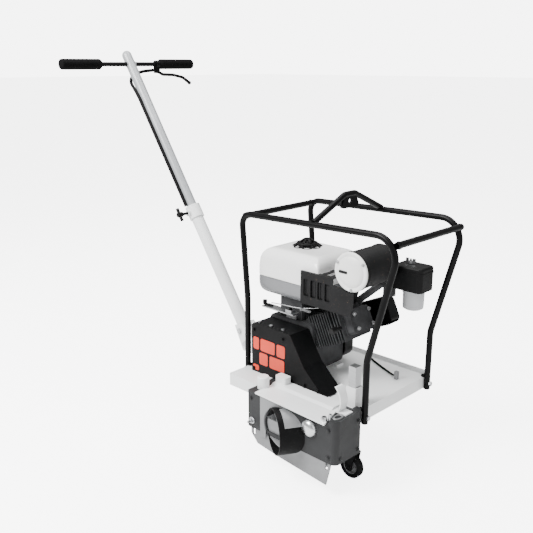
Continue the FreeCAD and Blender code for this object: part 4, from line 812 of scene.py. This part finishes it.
class SAW_OT_cage(bpy.types.Operator):
    """Builds the weld beads of the cage, the bail and the posts' feet"""

    bl_idname = "saw.cage"
    bl_label = "Cage welds"

    def execute(self, context):
        bead = context.scene.saw_detail.weld_bead
        radius = 9.0 * MM
        mesh = bmesh.new()
        tubes = NODES["cross_tubes"].data.vertices
        for x_share in (0, 1):
            points = [v.co for v in tubes if (v.co.x > DECK_MIDDLE.x) == bool(x_share)]
            centre_x = (min(p.x for p in points) + max(p.x for p in points)) / 2
            centre_z = (min(p.z for p in points) + max(p.z for p in points)) / 2
            for side in (-1, 1):
                y = DECK_MIDDLE.y + side * (HOOP_Y - 9.8) * MM
                add_ring(mesh, Vector((centre_x, y, centre_z)), Y, radius, bead)
        peak = high("lifting_bail").z - 13.0 * MM
        slope = Vector((0.0, 135.0, 62.3)).normalized()
        for side in (-1, 1):
            foot = Vector((middle("lifting_bail").x, DECK_MIDDLE.y + side * 148.0 * MM,
                           peak - 57.2 * MM))
            add_ring(mesh, foot, Vector((0.0, side * -slope.y, slope.z)), radius - 0.0012, bead)
        dressed = high("cross_tubes").x - 0.0001
        for vertex in mesh.verts:
            vertex.co.x = min(vertex.co.x, dressed)
        finish_piece("cage_welds", mesh, "chassis", "black_paint")
        mesh = bmesh.new()
        for side_x in (-1, 1):
            for side_y in (-1, 1):
                foot = at(side_x * 225.0, side_y * HOOP_Y, DECK_TOP + 2.0)
                add_ring(mesh, foot, Z, radius + 0.0005, bead)
        bmesh.ops.bisect_plane(mesh, geom=mesh.verts[:] + mesh.edges[:] + mesh.faces[:], dist=TOUCHING,
                               plane_co=at(0.0, 0.0, DECK_TOP), plane_no=Z, clear_inner=True)
        bmesh.ops.holes_fill(mesh, edges=[e for e in mesh.edges if e.is_boundary], sides=0)
        finish_piece("foot_welds", mesh, "chassis", "black_paint")
        return {"FINISHED"}


class SAW_OT_deck(bpy.types.Operator):
    """Builds the thin rod on the deck, its stop and the nuts of the engine's feet"""

    bl_idname = "saw.deck"
    bl_label = "Deck rod"

    def execute(self, context):
        radius = context.scene.saw_detail.rod_radius
        route = [at(20.0, 149.0, DECK_TOP + 9.0), at(34.0, 143.0, DECK_TOP + 4.0),
                 at(96.0, 115.0, DECK_TOP + 4.0), at(150.0, 91.0, DECK_TOP + 4.0),
                 at(168.0, 82.0, DECK_TOP + 8.0), at(174.0, 79.0, DECK_TOP + 16.0)]
        add_rod("deck_rod", route, radius, "black_paint")
        mesh = bmesh.new()
        add_block(mesh, at(169.0, 73.0, DECK_TOP), at(181.0, 85.0, DECK_TOP + 26.0))
        bevel_all(mesh, 0.002)
        finish_piece("rod_stop", mesh, "chassis", "light_steel")
        mesh = bmesh.new()
        for x, y in ((-170.0, -74.0), (-40.0, -74.0), (-170.0, 16.0), (-40.0, 16.0)):
            add_hex(mesh, at(x, y, DECK_TOP + 12.0), Z, 0.011, 0.006)
        finish_piece("foot_nuts", mesh, "chassis", "zinc_steel")
        return {"FINISHED"}


class SAW_OT_engine(bpy.types.Operator):
    """Builds the engine's bolts, oil plug and throttle link with its spring, and the cleaner's trim"""

    bl_idname = "saw.engine"
    bl_label = "Engine fittings"

    def execute(self, context):
        lean = upright_spoke(CYLINDER_LEAN)
        cover = middle("rocker_cover")
        mesh = bmesh.new()
        up = Vector((-lean.z, 0.0, lean.x))
        for y in (low("rocker_cover").y + 0.012, high("rocker_cover").y - 0.012):
            for rise in (-0.022, 0.022):
                place = Vector((cover.x, y, cover.z)) + lean * 0.021 + up * rise
                add_hex(mesh, place, lean, 0.008, 0.005)
        finish_piece("rocker_bolts", mesh, "chassis", "zinc_steel")
        mesh = bmesh.new()
        plug = at(-10.0, -84.0, 268.0)
        profile = [(0.0, 0.0), (0.011, 0.0), (0.011, 0.006), (0.016, 0.008), (0.016, 0.02), (0.013, 0.023),
                   (0.0, 0.023)]
        add_spun(mesh, profile, plug, X, 24)
        finish_piece("oil_plug", mesh, "chassis", "black_plastic")
        link = [at(-176.0, -112.0, 440.0), at(-140.0, -116.0, 446.0), at(-60.0, -112.0, 448.0),
                at(10.0, -96.0, 462.0), at(40.0, -60.0, 476.0), at(60.0, -20.0, 500.0)]
        add_rod("throttle_link", link, 0.0016, "zinc_steel")
        mesh = bmesh.new()
        for turn in range(12):
            add_ring(mesh, at(-52.0 + turn * 3.2, -112.0, 448.5), X, 0.0042, 0.0008, 12)
        finish_piece("link_spring", mesh, "chassis", "zinc_steel")
        mesh = bmesh.new()
        box_low, box_high = low("air_cleaner"), high("air_cleaner")
        seam = box_low.z + (box_high.z - box_low.z) * 0.62
        add_block(mesh, Vector((box_low.x - 0.001, box_low.y - 0.001, seam - 0.0022)),
                  Vector((box_high.x + 0.001, box_high.y + 0.001, seam + 0.0022)))
        round_edges_along(mesh, Z, 0.014, 6)
        finish_piece("cleaner_seam", mesh, "chassis", "black_plastic")
        mesh = bmesh.new()
        bowl = middle("cleaner_bowl")
        radius = half_width("cleaner_bowl")
        deep = high("cleaner_bowl").z - low("cleaner_bowl").z
        profile = [(0.0, 0.0), (radius * 0.72, 0.0), (radius * 0.9, deep * 0.06), (radius * 0.93, deep * 0.2),
                   (radius * 0.95, deep * 0.8), (radius * 0.93, deep * 0.83), (radius, deep * 0.86),
                   (radius, deep), (0.0, deep)]
        add_spun(mesh, profile, Vector((bowl.x, bowl.y, low("cleaner_bowl").z)), Z, 48)
        finish_piece("bowl", mesh, "chassis", "bowl_grey", replaced=("cleaner_bowl",))
        mesh = bmesh.new()
        hub = middle("recoil_cover")
        hub.y = low("recoil_cover").y + 0.006
        reach = half_width("recoil_cover")
        for turn in range(4):
            place = hub + upright_spoke(math.tau * (turn + 0.5) / 4) * reach * 0.9
            add_hex(mesh, place, Y, 0.008, 0.005)
        finish_piece("recoil_bolts", mesh, "chassis", "zinc_steel")
        return {"FINISHED"}


OPERATORS = (SAW_OT_stage, SAW_OT_finishes, SAW_OT_tank, SAW_OT_exhaust, SAW_OT_painted_shade, SAW_OT_guard,
             SAW_OT_head, SAW_OT_wheels, SAW_OT_handle, SAW_OT_cage, SAW_OT_deck, SAW_OT_engine)


class SAW_PT_panel(bpy.types.Panel):
    """Lists the steps that build the saw"""

    bl_idname = "SAW_PT_panel"
    bl_label = "Concrete saw"
    bl_space_type = "VIEW_3D"
    bl_region_type = "UI"
    bl_category = "Saw"

    def draw(self, context):
        for step in OPERATORS:
            self.layout.operator(step.bl_idname)


CLASSES = (SawLook, SawDetail, SawStage) + OPERATORS + (SAW_PT_panel,)


def register():
    for item in CLASSES:
        bpy.utils.register_class(item)
    bpy.types.Scene.saw_look = PointerProperty(type=SawLook)
    bpy.types.Scene.saw_detail = PointerProperty(type=SawDetail)
    bpy.types.Scene.saw_stage = PointerProperty(type=SawStage)


def unregister():
    del bpy.types.Scene.saw_stage
    del bpy.types.Scene.saw_detail
    del bpy.types.Scene.saw_look
    for item in reversed(CLASSES):
        bpy.utils.unregister_class(item)


def main():
    register()
    bpy.ops.saw.stage()
    bpy.ops.saw.finishes()
    bpy.ops.saw.tank()
    bpy.ops.saw.exhaust()
    bpy.ops.saw.lining()
    bpy.ops.saw.guard()
    bpy.ops.saw.head()
    bpy.ops.saw.wheels()
    bpy.ops.saw.handle()
    bpy.ops.saw.cage()
    bpy.ops.saw.deck()
    bpy.ops.saw.engine()


if __name__ == "__main__":
    main()
